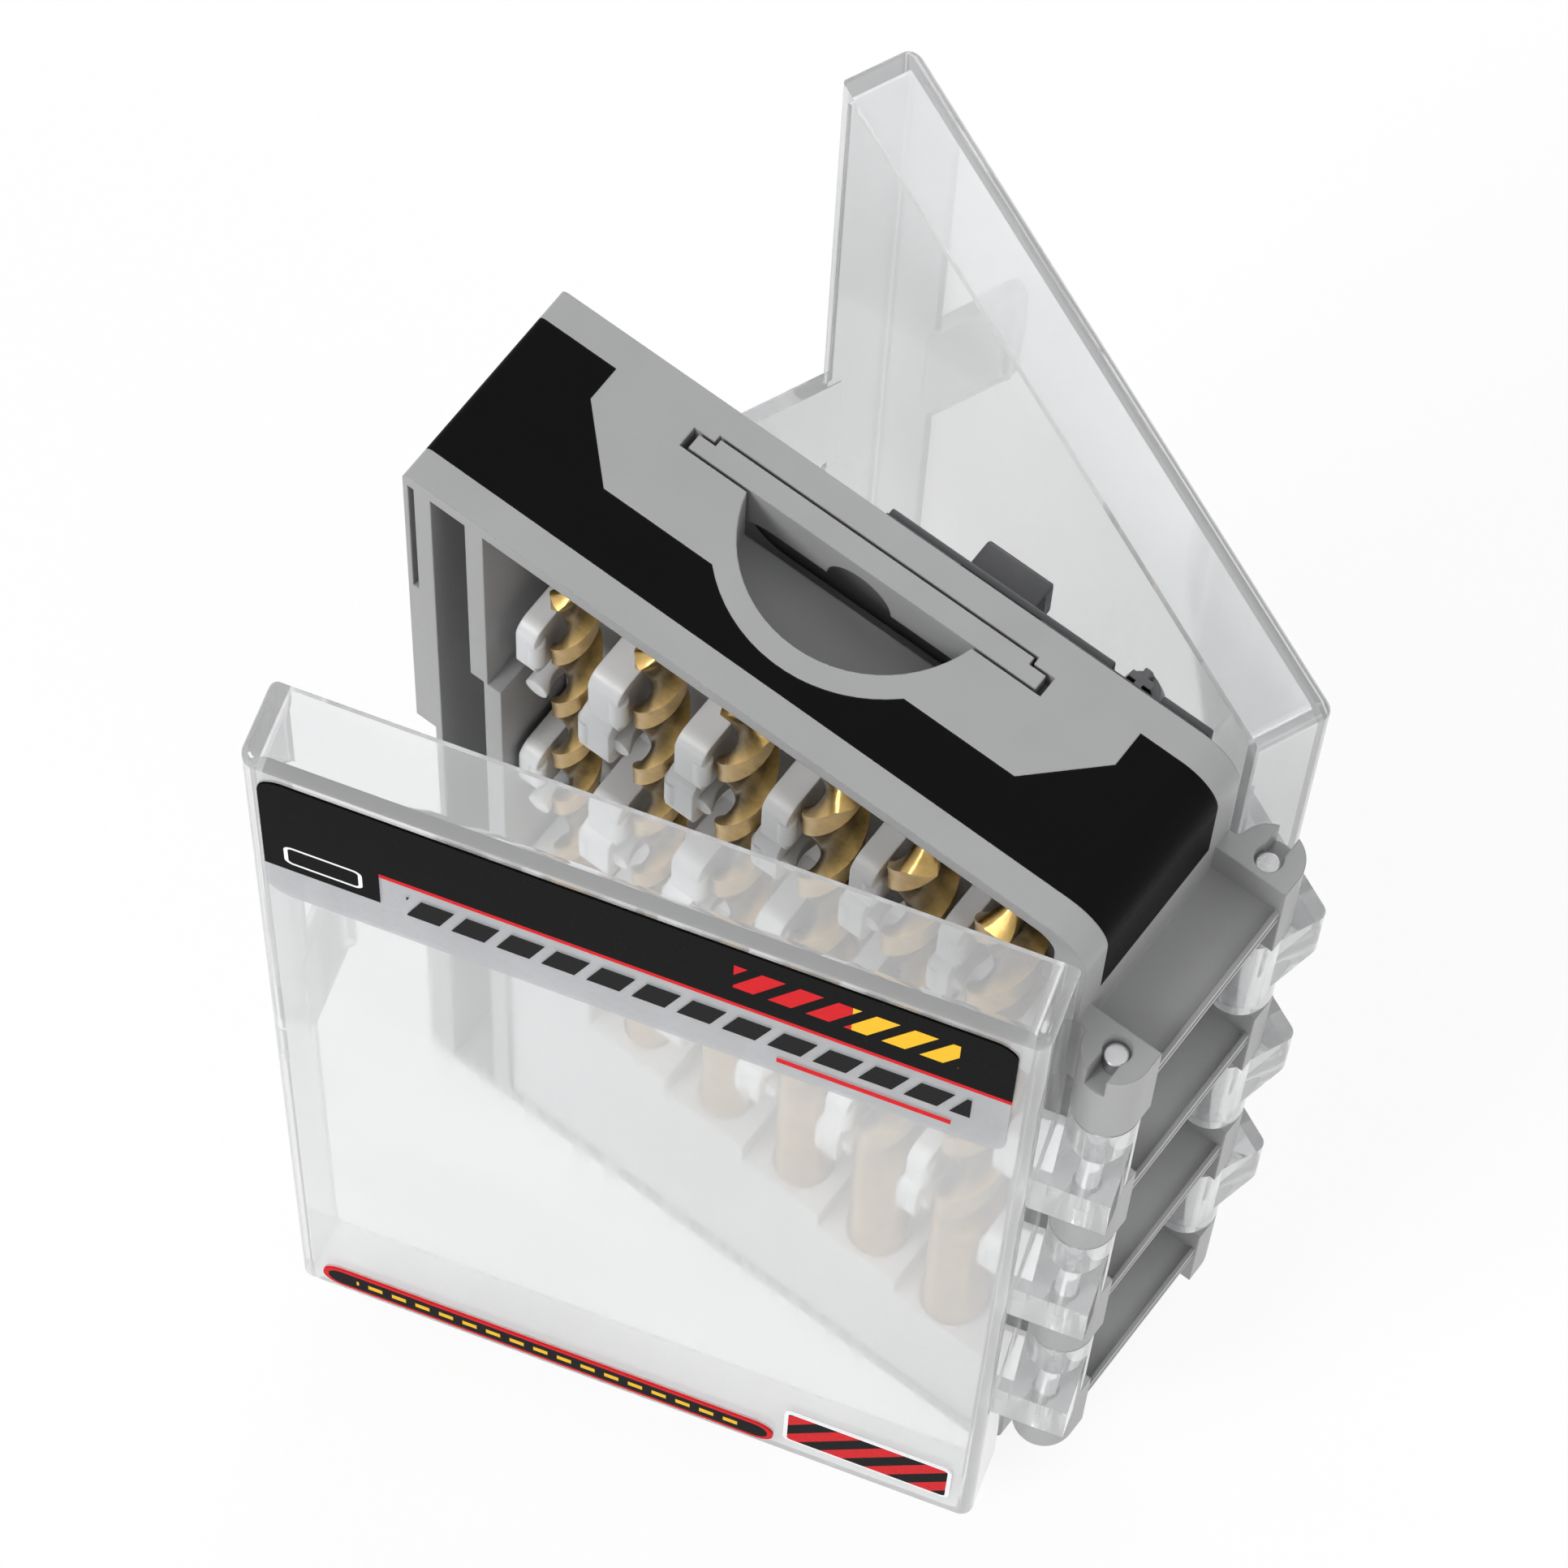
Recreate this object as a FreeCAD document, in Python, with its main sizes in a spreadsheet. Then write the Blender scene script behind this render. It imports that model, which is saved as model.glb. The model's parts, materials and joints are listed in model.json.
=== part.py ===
"""Drill bit case: a grey two-sided body, a clear lid hinged on each face, a lift-up hang tab and its tools.

The case stands on its bottom edge.  X runs from the latch side to the hinge side, -Y is the drill side,
Z is up, and the origin is the middle of the body's underside.  Both lids stand partly open.
"""
import FreeCAD, Part
import math
import os
import re

doc = FreeCAD.newDocument("drill_bit_case")
sheet = doc.addObject("Spreadsheet::Sheet", "sizes")

SIZES = (
    # body
    ("box_width", 68.0),
    ("case_depth", 20.8),
    ("case_height", 127.0),
    ("shell_wall", 1.8),
    ("web_wall", 1.2),
    ("shoulder_radius", 4.0),
    ("foot_radius", 3.0),
    ("pocket_radius", 2.0),
    ("hinge_side_wall", 3.0),
    # latch side wall: an outer skin, a channel and an inner rib that steps inwards lower down
    ("latch_skin", 2.8),
    ("channel_width", 3.5),
    ("rib_wall", 1.8),
    ("rib_step", 1.4),
    ("rib_step_drop", 31.0),
    ("channel_floor", 1.6),
    ("edge_groove_inset", 0.5),
    ("edge_groove_width", 0.6),
    ("edge_groove_depth", 1.2),
    ("edge_groove_drop", 21.0),
    ("latch_recess_depth", 2.1),
    ("latch_recess_height", 30.0),
    ("catch_groove_depth", 0.4),
    ("catch_groove_width", 3.2),
    # black inlay over the top and the hinge side shoulder
    ("flange_width", 3.0),
    ("inlay_thickness", 0.9),
    ("inlay_drop", 12.5),
    ("cartouche_half", 26.1),
    ("cartouche_foot_half", 20.4),
    ("cartouche_shoulder_y", 4.0),
    ("cartouche_foot_y", 1.65),
    ("scoop_radius", 11.6),
    ("scoop_rim", 2.1),
    ("scoop_wall", 1.2),
    ("scoop_centre_y", 8.2),
    ("scoop_depth", 8.0),
    ("scoop_floor", 1.0),
    # hang tab that lifts out of the top
    ("tab_half_width", 15.6),
    ("tab_thickness", 2.1),
    ("tab_front_y", 5.4),
    ("tab_length", 22.0),
    ("tab_ear", 1.65),
    ("tab_ear_thickness", 1.4),
    ("tab_ear_height", 2.0),
    ("tab_foot_height", 3.0),
    ("tab_slot_gap", 0.3),
    ("tab_end_gap", 0.7),
    ("hanger_half_width", 12.5),
    ("hanger_height", 7.6),
    ("hanger_drop", 5.2),
    ("hanger_crown", 3.2),
    ("tab_housing_wall", 0.8),
    ("tab_housing_side", 1.0),
    # hinge side: four ears on each face, joined by shelves
    ("hinge_reach", 6.8),
    ("pin_offset", 4.0),
    ("pin_radius", 1.0),
    ("pin_running_gap", 0.06),
    ("pin_end_sunk", 1.2),
    ("pin_mouth_radius", 1.25),
    ("pin_mouth_depth", 1.5),
    ("ear_boss_radius", 3.0),
    ("ear_height", 12.2),
    ("first_ear_drop", 14.0),
    ("last_ear_foot", 16.5),
    ("ear_fillet", 0.8),
    ("pin_slot_width", 1.9),
    ("pin_slot_depth", 3.2),
    ("ear_inner_y", 8.5),
    ("shelf_drop", 4.2),
    ("shelf_thickness", 1.6),
    ("shelf_lip_width", 0.4),
    ("shelf_lip_height", 0.6),
    ("shelf_groove_drop", 0.4),
    ("shelf_groove_height", 0.5),
    ("shelf_groove_depth", 0.35),
    # lids
    ("lid_depth", 7.2),
    ("lid_wall", 1.4),
    ("lid_edge_radius", 1.3),
    ("lid_inner_radius", 0.8),
    ("front_open", 16.5),
    ("back_open", 24.0),
    ("knuckle_gap", 0.3),
    ("knuckle_outer", 5.4),
    ("knuckle_reach", 2.9),
    ("knuckle_web", 0.7),
    ("knuckle_edge_radius", 0.9),
    ("latch_tab_thickness", 1.5),
    ("latch_tab_height", 17.0),
    ("latch_tab_reach", 9.2),
    ("latch_tab_end_radius", 1.5),
    ("catch_radius", 0.7),
    ("catch_from_tip", 1.6),
    # printed labels on the front lid
    ("label_thickness", 0.2),
    ("header_left_inset", 1.6),
    ("header_right_inset", 2.3),
    ("header_drop", 2.4),
    ("header_height", 23.4),
    ("header_radius", 2.2),
    ("footer_left_inset", 2.6),
    ("footer_right_inset", 19.8),
    ("footer_foot", 2.4),
    ("footer_height", 4.4),
    ("footer_radius", 2.0),
    ("badge_right_inset", 2.2),
    ("badge_width", 16.6),
    ("badge_foot", 5.2),
    ("badge_height", 8.4),
    ("badge_radius", 0.9),
    # twist drills
    ("drill_row_y", 6.3),
    ("drill_tip_drop", 10.0),
    ("first_drill_inset", 4.9),
    ("last_drill_inset", 6.2),
    ("small_drill_near", 3.2),
    ("small_drill_far", 6.6),
    ("small_drill_foot", 20.0),
    ("first_small_inset", 3.2),
    ("last_small_inset", 2.1),
    # clip rails and shank block on the drill side
    ("insert_side_gap", 0.2),
    ("rail_thickness", 1.2),
    ("rail_gap", 0.3),
    ("finger_spacing", 0.2),
    ("finger_reach", 8.4),
    ("finger_tip_radius", 1.6),
    ("finger_hook", 0.85),
    ("finger_hook_y", 8.3),
    ("knob_radius", 1.1),
    ("knob_below_finger", 4.4),
    ("knob_reach", 7.6),
    ("clip_gap", 0.12),
    ("shank_seat_depth", 6.0),
    ("shank_block_reach", 9.3),
    ("shank_bore_gap", 0.1),
    # racks on the driver side
    ("small_base_height", 28.4),
    ("small_block_reach", 8.4),
    ("small_comb_drop", 71.0),
    ("small_comb_height", 6.5),
    ("rack_proud", 0.9),
    ("rack_plate", 2.5),
    ("bit_row_proud", 1.8),
    ("bit_channel_gap", 0.25),
    ("bit_across_flats", 6.35),
    ("bit_neck_radius", 2.2),
    ("bit_tip_radius", 1.1),
    ("bit_blade_half", 0.5),
    ("bit_cross_slot", 0.7),
    ("first_bit_foot", 4.0),
    ("bit_row_gap", 4.0),
    ("tall_column_gap", 10.0),
    ("tall_row_gap", 6.5),
    ("tall_top_gap", 2.5),
    ("holder_gap", 6.0),
    ("holder_top_gap", 4.5),
    ("holder_radius", 3.8),
    ("holder_shank_length", 25.5),
    ("holder_socket_depth", 9.0),
    ("magnet_radius", 2.9),
    ("magnet_thickness", 1.8),
    ("holder_row_proud", 1.7),
    ("seat_gap", 0.1),
    # small values that cuts and cylinders share
    ("overrun", 2.0),
)
# Twist drills: diameter, and the foot's height above the floor or the tip's drop below the case's top.
LARGE_DRILLS = ((4.37, 34.4), (4.76, 28.1), (5.16, 24.9), (5.56, 21.7), (5.95, 18.6), (6.35, 15.4))
SMALL_DRILLS = (
    (3.97, 27.6), (3.57, 34.0), (3.18, 37.1), (2.78, 40.3), (2.38, 49.8), (1.98, 56.2), (1.59, 59.4))
for number, (diameter, foot) in enumerate(LARGE_DRILLS, 1):
    SIZES += (("large_drill_%d_diameter" % number, diameter), ("large_drill_%d_foot" % number, foot))
for number, (diameter, drop) in enumerate(SMALL_DRILLS, 1):
    SIZES += (("small_drill_%d_diameter" % number, diameter), ("small_drill_%d_drop" % number, drop))

for row, (alias, number) in enumerate(SIZES, 1):
    sheet.set("A%d" % row, alias)
    sheet.set("B%d" % row, str(number))
    sheet.setAlias("B%d" % row, alias)
doc.recompute()

ALIASES = {alias for alias, number in SIZES}
WORD = re.compile(r"[a-z_]+[a-z_0-9]*")

# Places worked out from the sheet, written as formulas over its names.
LEFT = "(-(box_width + hinge_reach) / 2)"
RIGHT = "((box_width - hinge_reach) / 2)"
MIDDLE = "(-hinge_reach / 2)"
FACE = "(case_depth / 2)"
PIN_X = "((box_width - hinge_reach) / 2 + pin_offset)"
CEILING = "(case_height - shell_wall)"
SLOT_TOP = "(case_height - tab_foot_height - tab_ear_height - tab_slot_gap)"
TRAY_LEFT = "(-(box_width + hinge_reach) / 2 + latch_skin + channel_width + rib_wall + rib_step)"
TRAY_RIGHT = "((box_width - hinge_reach) / 2 - hinge_side_wall)"
RIB_STEP = "(case_height - rib_step_drop)"
EAR_PITCH = "((case_height - first_ear_drop - last_ear_foot - ear_height) / 3)"
KNUCKLE = "(%s - ear_height - 2 * knuckle_gap)" % EAR_PITCH
DRILL_PITCH = "((%s - %s - first_drill_inset - last_drill_inset) / %d)" % (
    TRAY_RIGHT, TRAY_LEFT, len(LARGE_DRILLS) - 1)
RAILS = 3
RAIL_FOOT = "(large_drill_1_foot + shank_seat_depth + rail_gap)"
RAIL_PITCH = "((case_height - scoop_depth - scoop_floor - seat_gap - %s) / %d)" % (RAIL_FOOT, RAILS)
# A rail's two tiers of fingers fill this share of its height, one above the other.
HEAD_SHARE = 0.63
FINGER_HEIGHT = "((%s * %s - finger_spacing) / 2)" % (HEAD_SHARE, RAIL_PITCH)
BIT_LENGTH = "((case_height - first_bit_foot - bit_row_gap - tall_column_gap - tall_row_gap - tall_top_gap) / 4)"
BIT_ROWS_HEAD = "(first_bit_foot + 2 * %s + bit_row_gap)" % BIT_LENGTH
HOLDER_FOOT = "(%s + holder_gap)" % BIT_ROWS_HEAD
RACK_FACE = "(%s + rack_proud)" % FACE
BIT_ROW_Y = "(%s + bit_row_proud)" % FACE
HOLDER_ROW_Y = "(%s + holder_row_proud)" % FACE

# Heights of a knuckle web's outer face and root, as shares of the knuckle's height.
WEB_FACE_SHARE = 0.45
WEB_ROOT_SHARE = 0.72

# Where the driver side tray is divided, and where the rack's columns stand, as shares of their widths.
RACK_SHARE = 0.411
COLUMN_SHARES = (0.195, 0.483, 0.772)
TALL_SHARE = 0.754
HOLDER_SHARE = 0.349
RACK_LEFT = "(%s + %s * (%s - %s))" % (TRAY_LEFT, RACK_SHARE, TRAY_RIGHT, TRAY_LEFT)
SMALL_RIGHT = "(%s - seat_gap)" % RACK_LEFT
SMALL_PITCH = "((%s - last_small_inset - %s - first_small_inset) / %d)" % (
    SMALL_RIGHT, TRAY_LEFT, len(SMALL_DRILLS) - 1)

# A finger's width as a share of the room between drills.
FINGER_SHARE = 0.72
# An insert bit's shank, neck and tip as shares of its length.
BIT_SHANK_SHARE = 0.52
BIT_NECK_SHARE = 0.12
BIT_TIP_SHARE = 0.16

# Proportions of a twist drill, as shares of its own length, diameter and radius.
FLUTE_SHARE = 0.70
LEAD_SHARE = 5.0
POINT_SHARE = 0.30
CHISEL_SHARE = 0.16
SECTIONS_PER_TURN = 9
# Rims of the drill's cross-section: degrees round the axis, and reach as a share of the radius.
SECTION_SHARES = ((0, 1.0), (24, 1.0), (48, 1.0), (82, 0.48), (128, 0.46))
BLADE_SHARE = 0.7


def size(alias):
    """One driving dimension as a number."""
    return float(sheet.get(alias))


def bind(obj, prop, formula):
    """Tie a property to the sheet; bare names in the formula are the sheet's own names."""
    obj.setExpression(prop, WORD.sub(
        lambda match: "sizes." + match.group(0) if match.group(0) in ALIASES else match.group(0), formula))


def seat(obj, x, y, z):
    bind(obj, ".Placement.Base.x", x)
    bind(obj, ".Placement.Base.y", y)
    bind(obj, ".Placement.Base.z", z)
    return obj


def box(name, x, y, z, length, width, height):
    obj = doc.addObject("Part::Box", name)
    bind(obj, "Length", length)
    bind(obj, "Width", width)
    bind(obj, "Height", height)
    return seat(obj, x, y, z)


def slab(name, x0, x1, y0, y1, z0, z1):
    """A box from its two limits along each axis."""
    return box(name, x0, y0, z0, "(%s) - (%s)" % (x1, x0), "(%s) - (%s)" % (y1, y0), "(%s) - (%s)" % (z1, z0))


TURNS = {
    "Z": FreeCAD.Rotation(),
    "X": FreeCAD.Rotation(FreeCAD.Vector(0, 1, 0), 90),
    "Y": FreeCAD.Rotation(FreeCAD.Vector(1, 0, 0), -90),
}


def rod(name, x, y, z, radius, length, axis="Z"):
    """A cylinder that starts at a point and runs along an axis."""
    obj = doc.addObject("Part::Cylinder", name)
    obj.Placement = FreeCAD.Placement(FreeCAD.Vector(), TURNS[axis])
    bind(obj, "Radius", radius)
    bind(obj, "Height", length)
    return seat(obj, x, y, z)


def taper(name, x, y, z, low, high, height):
    obj = doc.addObject("Part::Cone", name)
    bind(obj, "Radius1", low)
    bind(obj, "Radius2", high)
    bind(obj, "Height", height)
    return seat(obj, x, y, z)


def hexagon(name, x, y, z, across_flats, height):
    """A hexagonal bar with flats that face along Y."""
    obj = doc.addObject("Part::Prism", name)
    obj.Polygon = 6
    bind(obj, "Circumradius", "(%s) / sqrt(3)" % across_flats)
    bind(obj, "Height", height)
    return seat(obj, x, y, z)


def fuse(name, parts):
    obj = doc.addObject("Part::MultiFuse", name)
    obj.Shapes = parts
    obj.Refine = True
    return obj


def cut(name, base, tools):
    obj = doc.addObject("Part::Cut", name)
    obj.Base = base
    obj.Tool = tools[0] if len(tools) == 1 else fuse(name + "_tools", tools)
    obj.Refine = True
    return obj


def common(name, first, second):
    obj = doc.addObject("Part::Common", name)
    obj.Base = first
    obj.Tool = second
    obj.Refine = True
    return obj


def rounded(name, base, choices):
    """Fillet edges of a solid: each choice is a test on an edge's middle and direction, and a radius."""
    doc.recompute()
    picked = []
    for index, edge in enumerate(base.Shape.Edges, 1):
        run = edge.Vertexes[-1].Point - edge.Vertexes[0].Point
        for test, radius in choices:
            if test(edge.CenterOfMass, run):
                picked.append((index, radius, radius))
                break
    obj = doc.addObject("Part::Fillet", name)
    obj.Base = base
    obj.Edges = picked
    return obj


def along(run, axis):
    """True where an edge runs along the axis with this number."""
    return abs(run[axis]) > 0.99 * run.Length > 0


NODES = []


def node(obj, label):
    obj.Label = label
    NODES.append(obj)
    return obj


def make_block():
    """The rounded outer block of the body."""
    block = slab("block_form", LEFT, RIGHT, "-" + FACE, FACE, "0", "case_height")
    right = (size("box_width") - size("hinge_reach")) / 2
    half = size("case_height") / 2

    def shoulder(place, run):
        return along(run, 1) and place.z > half and place.x > 0

    def foot(place, run):
        return along(run, 1) and place.z < half

    def latch_corner(place, run):
        return along(run, 1) and place.z > half and place.x < right

    return rounded("block", block, (
        (shoulder, size("shoulder_radius")), (foot, size("foot_radius")),
        (latch_corner, size("lid_inner_radius"))))


def make_inlay(block):
    """The black inlay: a skin of the top and shoulder, less the grey cartouche and the scoop's rim."""
    core_form = slab("inlay_core_form", LEFT + " - overrun", RIGHT + " - inlay_thickness", "-case_depth",
                     "case_depth", "-overrun", "case_height - inlay_thickness")

    def shoulder(place, run):
        return along(run, 1) and place.z > 0 and place.x > 0

    core = rounded("inlay_core", core_form, ((shoulder, size("shoulder_radius") - size("inlay_thickness")),))
    skin = cut("inlay_skin", block, [core])
    zone = slab("inlay_zone", LEFT + " - overrun", RIGHT + " + overrun", "-(%s - flange_width)" % FACE,
                "%s - flange_width" % FACE, "case_height - inlay_drop", "case_height + overrun")
    strip = common("inlay_strip", skin, zone)
    cartouche = doc.addObject("Part::Wedge", "cartouche_foot")
    for prop, formula in (
            ("Xmin", "-cartouche_foot_half"), ("Xmax", "cartouche_foot_half"),
            ("X2min", "-cartouche_half"), ("X2max", "cartouche_half"),
            ("Ymin", "-cartouche_foot_y"), ("Ymax", "cartouche_shoulder_y"),
            ("Zmin", "0"), ("Zmax", "2 * overrun"), ("Z2min", "0"), ("Z2max", "2 * overrun")):
        bind(cartouche, prop, formula)
    seat(cartouche, MIDDLE, "0", "case_height - overrun")
    upper = slab("cartouche_head", MIDDLE + " - cartouche_half", MIDDLE + " + cartouche_half",
                 "cartouche_shoulder_y", FACE, "case_height - overrun", "case_height + overrun")
    rim = rod("scoop_rim_form", MIDDLE, "scoop_centre_y", "case_height - overrun", "scoop_radius + scoop_rim",
              "2 * overrun")
    return cut("inlay", strip, [cartouche, upper, rim])


def pocket(name, sign):
    """The open tray in one face of the body, with the rib's step in its latch side."""
    near = "web_wall / 2"
    far = "case_depth"
    y0, y1 = (near, far) if sign > 0 else ("-(%s)" % far, "-(%s)" % near)
    form = slab(name + "_form", TRAY_LEFT, TRAY_RIGHT, y0, y1, "shell_wall", CEILING)

    def corner(place, run):
        return along(run, 1)

    tray = rounded(name + "_tray", form, ((corner, size("pocket_radius")),))
    step = slab(name + "_step", TRAY_LEFT + " - rib_step", TRAY_LEFT + " + 2 * pocket_radius", y0, y1, RIB_STEP,
                CEILING)
    return fuse(name, [tray, step])


def channel(name, sign):
    """The narrow channel between the latch side's skin and its rib."""
    near = "channel_floor"
    y0, y1 = (near, "case_depth") if sign > 0 else ("-case_depth", "-" + near)
    x0 = LEFT + " + latch_skin"
    upper = slab(name + "_upper", x0, x0 + " + channel_width", y0, y1, "shell_wall", CEILING)
    lower = slab(name + "_lower", x0, x0 + " + channel_width + rib_step", y0, y1, "shell_wall", RIB_STEP)
    return fuse(name, [upper, lower])


def ear_top(index):
    """Top of one of the ears, as a formula."""
    return "(case_height - first_ear_drop - %d * %s)" % (index, EAR_PITCH)


def make_ears():
    """Four ears on each face, with shelves between them, and lips along the shelves' outer edges."""
    parts = []
    right = (size("box_width") - size("hinge_reach")) / 2
    for index in range(4):
        top = ear_top(index)
        for side, sign in (("front", "-"), ("back", "")):
            tag = "%s_ear_%d" % (side, index + 1)
            foot = top + " - ear_height"
            outer_x = PIN_X + " + ear_boss_radius"
            y0, y1 = span(-1 if sign else 1, "ear_inner_y", FACE)
            plate = slab(tag + "_plate", RIGHT + " - shell_wall", outer_x, y0, y1, foot, top)
            y0, y1 = span(-1 if sign else 1, "ear_inner_y", FACE + " + 2 * ear_boss_radius")
            zone = slab(tag + "_zone", RIGHT, outer_x, y0, y1, foot, top)
            boss = rod(tag + "_barrel", PIN_X, sign + FACE, foot, "ear_boss_radius", "ear_height")

            def root(place, run):
                return along(run, 2) and abs(abs(place.y) - size("case_depth") / 2) < size("knuckle_gap") and (
                    right < place.x < right + size("pin_offset"))

            form = fuse(tag + "_form", [plate, common(tag + "_boss", boss, zone)])
            parts.append(rounded(tag, form, ((root, size("ear_fillet")),)))
        shelf_top = top + " - shelf_drop"
        parts.append(slab("shelf_%d" % (index + 1), RIGHT + " - shell_wall", RIGHT + " + hinge_reach",
                          "-ear_inner_y", "ear_inner_y", shelf_top + " - shelf_thickness", shelf_top))
        parts.append(slab("shelf_lip_%d" % (index + 1), RIGHT + " + hinge_reach - shelf_lip_width",
                          RIGHT + " + hinge_reach", "-ear_inner_y", "ear_inner_y", shelf_top,
                          shelf_top + " + shelf_lip_height"))
    return parts


def make_body(block, inlay):
    """The grey body: two trays back to back round a web, the scoop and tab slot in its top, and the hinge ears."""
    front = pocket("front_pocket", -1)
    scoop_keep = rod("scoop_keep", MIDDLE, "scoop_centre_y", "case_height - scoop_depth - scoop_floor",
                     "scoop_radius + scoop_wall", "case_height")
    front_open = cut("front_open", front, [scoop_keep])
    back = pocket("back_pocket", 1)
    housing = slab("tab_housing", MIDDLE + " - tab_half_width - tab_ear - tab_slot_gap - tab_housing_side",
                   MIDDLE + " + tab_half_width + tab_ear + tab_slot_gap + tab_housing_side", "0",
                   "tab_front_y + tab_thickness + tab_slot_gap + tab_housing_wall",
                   "case_height - tab_length - tab_slot_gap - scoop_floor", "case_height")
    back_open = cut("back_open", back, [housing])

    scoop = rod("scoop", MIDDLE, "scoop_centre_y", "case_height - scoop_depth", "scoop_radius", "case_height")
    scoop_side = slab("scoop_side", LEFT, RIGHT, "-case_depth", "tab_front_y", "0", "2 * case_height")
    scoop_cut = common("scoop_cut", scoop, scoop_side)
    tab_back = "tab_front_y + tab_thickness + tab_slot_gap"
    slot = slab("tab_slot", MIDDLE + " - tab_half_width - tab_slot_gap",
                MIDDLE + " + tab_half_width + tab_slot_gap", "tab_front_y - tab_slot_gap", tab_back,
                "case_height - tab_length - tab_slot_gap", "case_height + overrun")
    chamber = slab("tab_chamber", MIDDLE + " - tab_half_width - tab_ear - tab_slot_gap",
                   MIDDLE + " + tab_half_width + tab_ear + tab_slot_gap", "tab_front_y - tab_slot_gap", tab_back,
                   "case_height - tab_length - tab_slot_gap", SLOT_TOP)
    notch = slab("tab_notch", MIDDLE + " - tab_half_width - tab_ear - tab_end_gap",
                 MIDDLE + " + tab_half_width + tab_ear + tab_end_gap", "tab_front_y - tab_slot_gap",
                 "tab_front_y + tab_ear_thickness + tab_slot_gap", "case_height - tab_ear_height - tab_slot_gap",
                 "case_height + overrun")

    recess_z = "case_height / 2 - latch_recess_height / 2"
    recess = slab("latch_recess", LEFT + " - overrun", LEFT + " + latch_recess_depth", "-case_depth", "case_depth",
                  recess_z, recess_z + " + latch_recess_height")
    tools = [inlay, front_open, back_open, channel("front_channel", -1), channel("back_channel", 1), scoop_cut,
             slot, chamber, notch, recess]
    catch_y = "(%s - latch_tab_reach + catch_from_tip)" % FACE
    for side, sign in (("front", "-"), ("back", "")):
        groove_y = "%s%s - catch_groove_width / 2" % (sign, catch_y)
        tools.append(box(side + "_catch_groove", LEFT, groove_y, recess_z,
                         "latch_recess_depth + catch_groove_depth", "catch_groove_width", "latch_recess_height"))
        edge_y = "-" + FACE if sign else FACE + " - edge_groove_depth"
        tools.append(box(side + "_edge_groove", LEFT + " + edge_groove_inset", edge_y,
                         "case_height - edge_groove_drop", "edge_groove_width", "edge_groove_depth",
                         "edge_groove_drop - shell_wall"))
    hollow = cut("hollow_body", fuse("block_and_ears", [block] + make_ears()), tools)
    bores = []
    for side, sign in (("front", "-"), ("back", "")):
        bores.append(rod(side + "_pin_bore", PIN_X, sign + FACE, "0", "pin_radius", "case_height"))
        y0, y1 = span(-1 if sign else 1, FACE, FACE + " + 2 * ear_boss_radius")
        for index in range(4):
            bores.append(slab("%s_pin_slot_%d" % (side, index + 1), PIN_X + " - pin_slot_width / 2",
                              PIN_X + " + pin_slot_width / 2", y0, y1, ear_top(index) + " - pin_slot_depth",
                              ear_top(index) + " + seat_gap"))
            bores.append(rod("%s_pin_mouth_%d" % (side, index + 1), PIN_X, sign + FACE,
                             ear_top(index) + " - pin_mouth_depth", "pin_mouth_radius",
                             "pin_mouth_depth + seat_gap"))
    for index in range(4):
        groove_top = ear_top(index) + " - shelf_drop - shelf_groove_drop"
        bores.append(slab("shelf_groove_%d" % (index + 1), RIGHT + " + hinge_reach - shelf_groove_depth",
                          RIGHT + " + hinge_reach + overrun", "-ear_inner_y", "ear_inner_y",
                          groove_top + " - shelf_groove_height", groove_top))
    return cut("case_body", hollow, bores)


def make_hang_tab():
    """A flat tab with a hanger slot: ears at its head sit in the top, feet at its foot stop it coming out."""
    foot_z = "case_height - tab_length"
    plate = slab("tab_plate", MIDDLE + " - tab_half_width", MIDDLE + " + tab_half_width", "tab_front_y",
                 "tab_front_y + tab_thickness", foot_z, "case_height")
    ears = slab("tab_ears", MIDDLE + " - tab_half_width - tab_ear", MIDDLE + " + tab_half_width + tab_ear",
                "tab_front_y", "tab_front_y + tab_ear_thickness", "case_height - tab_ear_height", "case_height")
    feet = slab("tab_feet", MIDDLE + " - tab_half_width - tab_ear", MIDDLE + " + tab_half_width + tab_ear",
                "tab_front_y", "tab_front_y + tab_thickness", foot_z, foot_z + " + tab_foot_height")
    head_z = "case_height - hanger_drop"
    hole = slab("hanger_slot", MIDDLE + " - hanger_half_width + hanger_height / 2",
                MIDDLE + " + hanger_half_width - hanger_height / 2", "0", "case_depth",
                head_z + " - hanger_height", head_z)
    ends = []
    for tag, sign in (("latch", "-"), ("hinge", "+")):
        ends.append(rod("hanger_end_" + tag, "%s %s (hanger_half_width - hanger_height / 2)" % (MIDDLE, sign), "0",
                        head_z + " - hanger_height / 2", "hanger_height / 2", "case_depth", "Y"))
    crown = rod("hanger_crown_form", MIDDLE, "0", head_z, "hanger_crown", "case_depth", "Y")
    return cut("hang_tab", fuse("tab_form", [plate, ears, feet]), [hole, crown] + ends)


def make_pin(side, sign):
    return rod(side + "_hinge_pin", PIN_X, sign + FACE, "last_ear_foot", "pin_radius",
               "case_height - first_ear_drop - pin_end_sunk - last_ear_foot")


def span(sign, near, far):
    """Limits in Y of something that reaches from near to far on the side that sign gives."""
    return ("-(%s)" % far, "-(%s)" % near) if sign < 0 else (near, far)


def swing(obj, sign, angle):
    """Place a lid part, drawn shut with the pin at its origin, at its pin and opened by the lid's angle."""
    obj.Placement = FreeCAD.Placement(FreeCAD.Vector(), FreeCAD.Rotation(FreeCAD.Vector(0, 0, -sign), size(angle)))
    bind(obj, ".Placement.Rotation.Angle", angle)
    return seat(obj, PIN_X, ("-" if sign < 0 else "") + FACE, "0")


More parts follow.
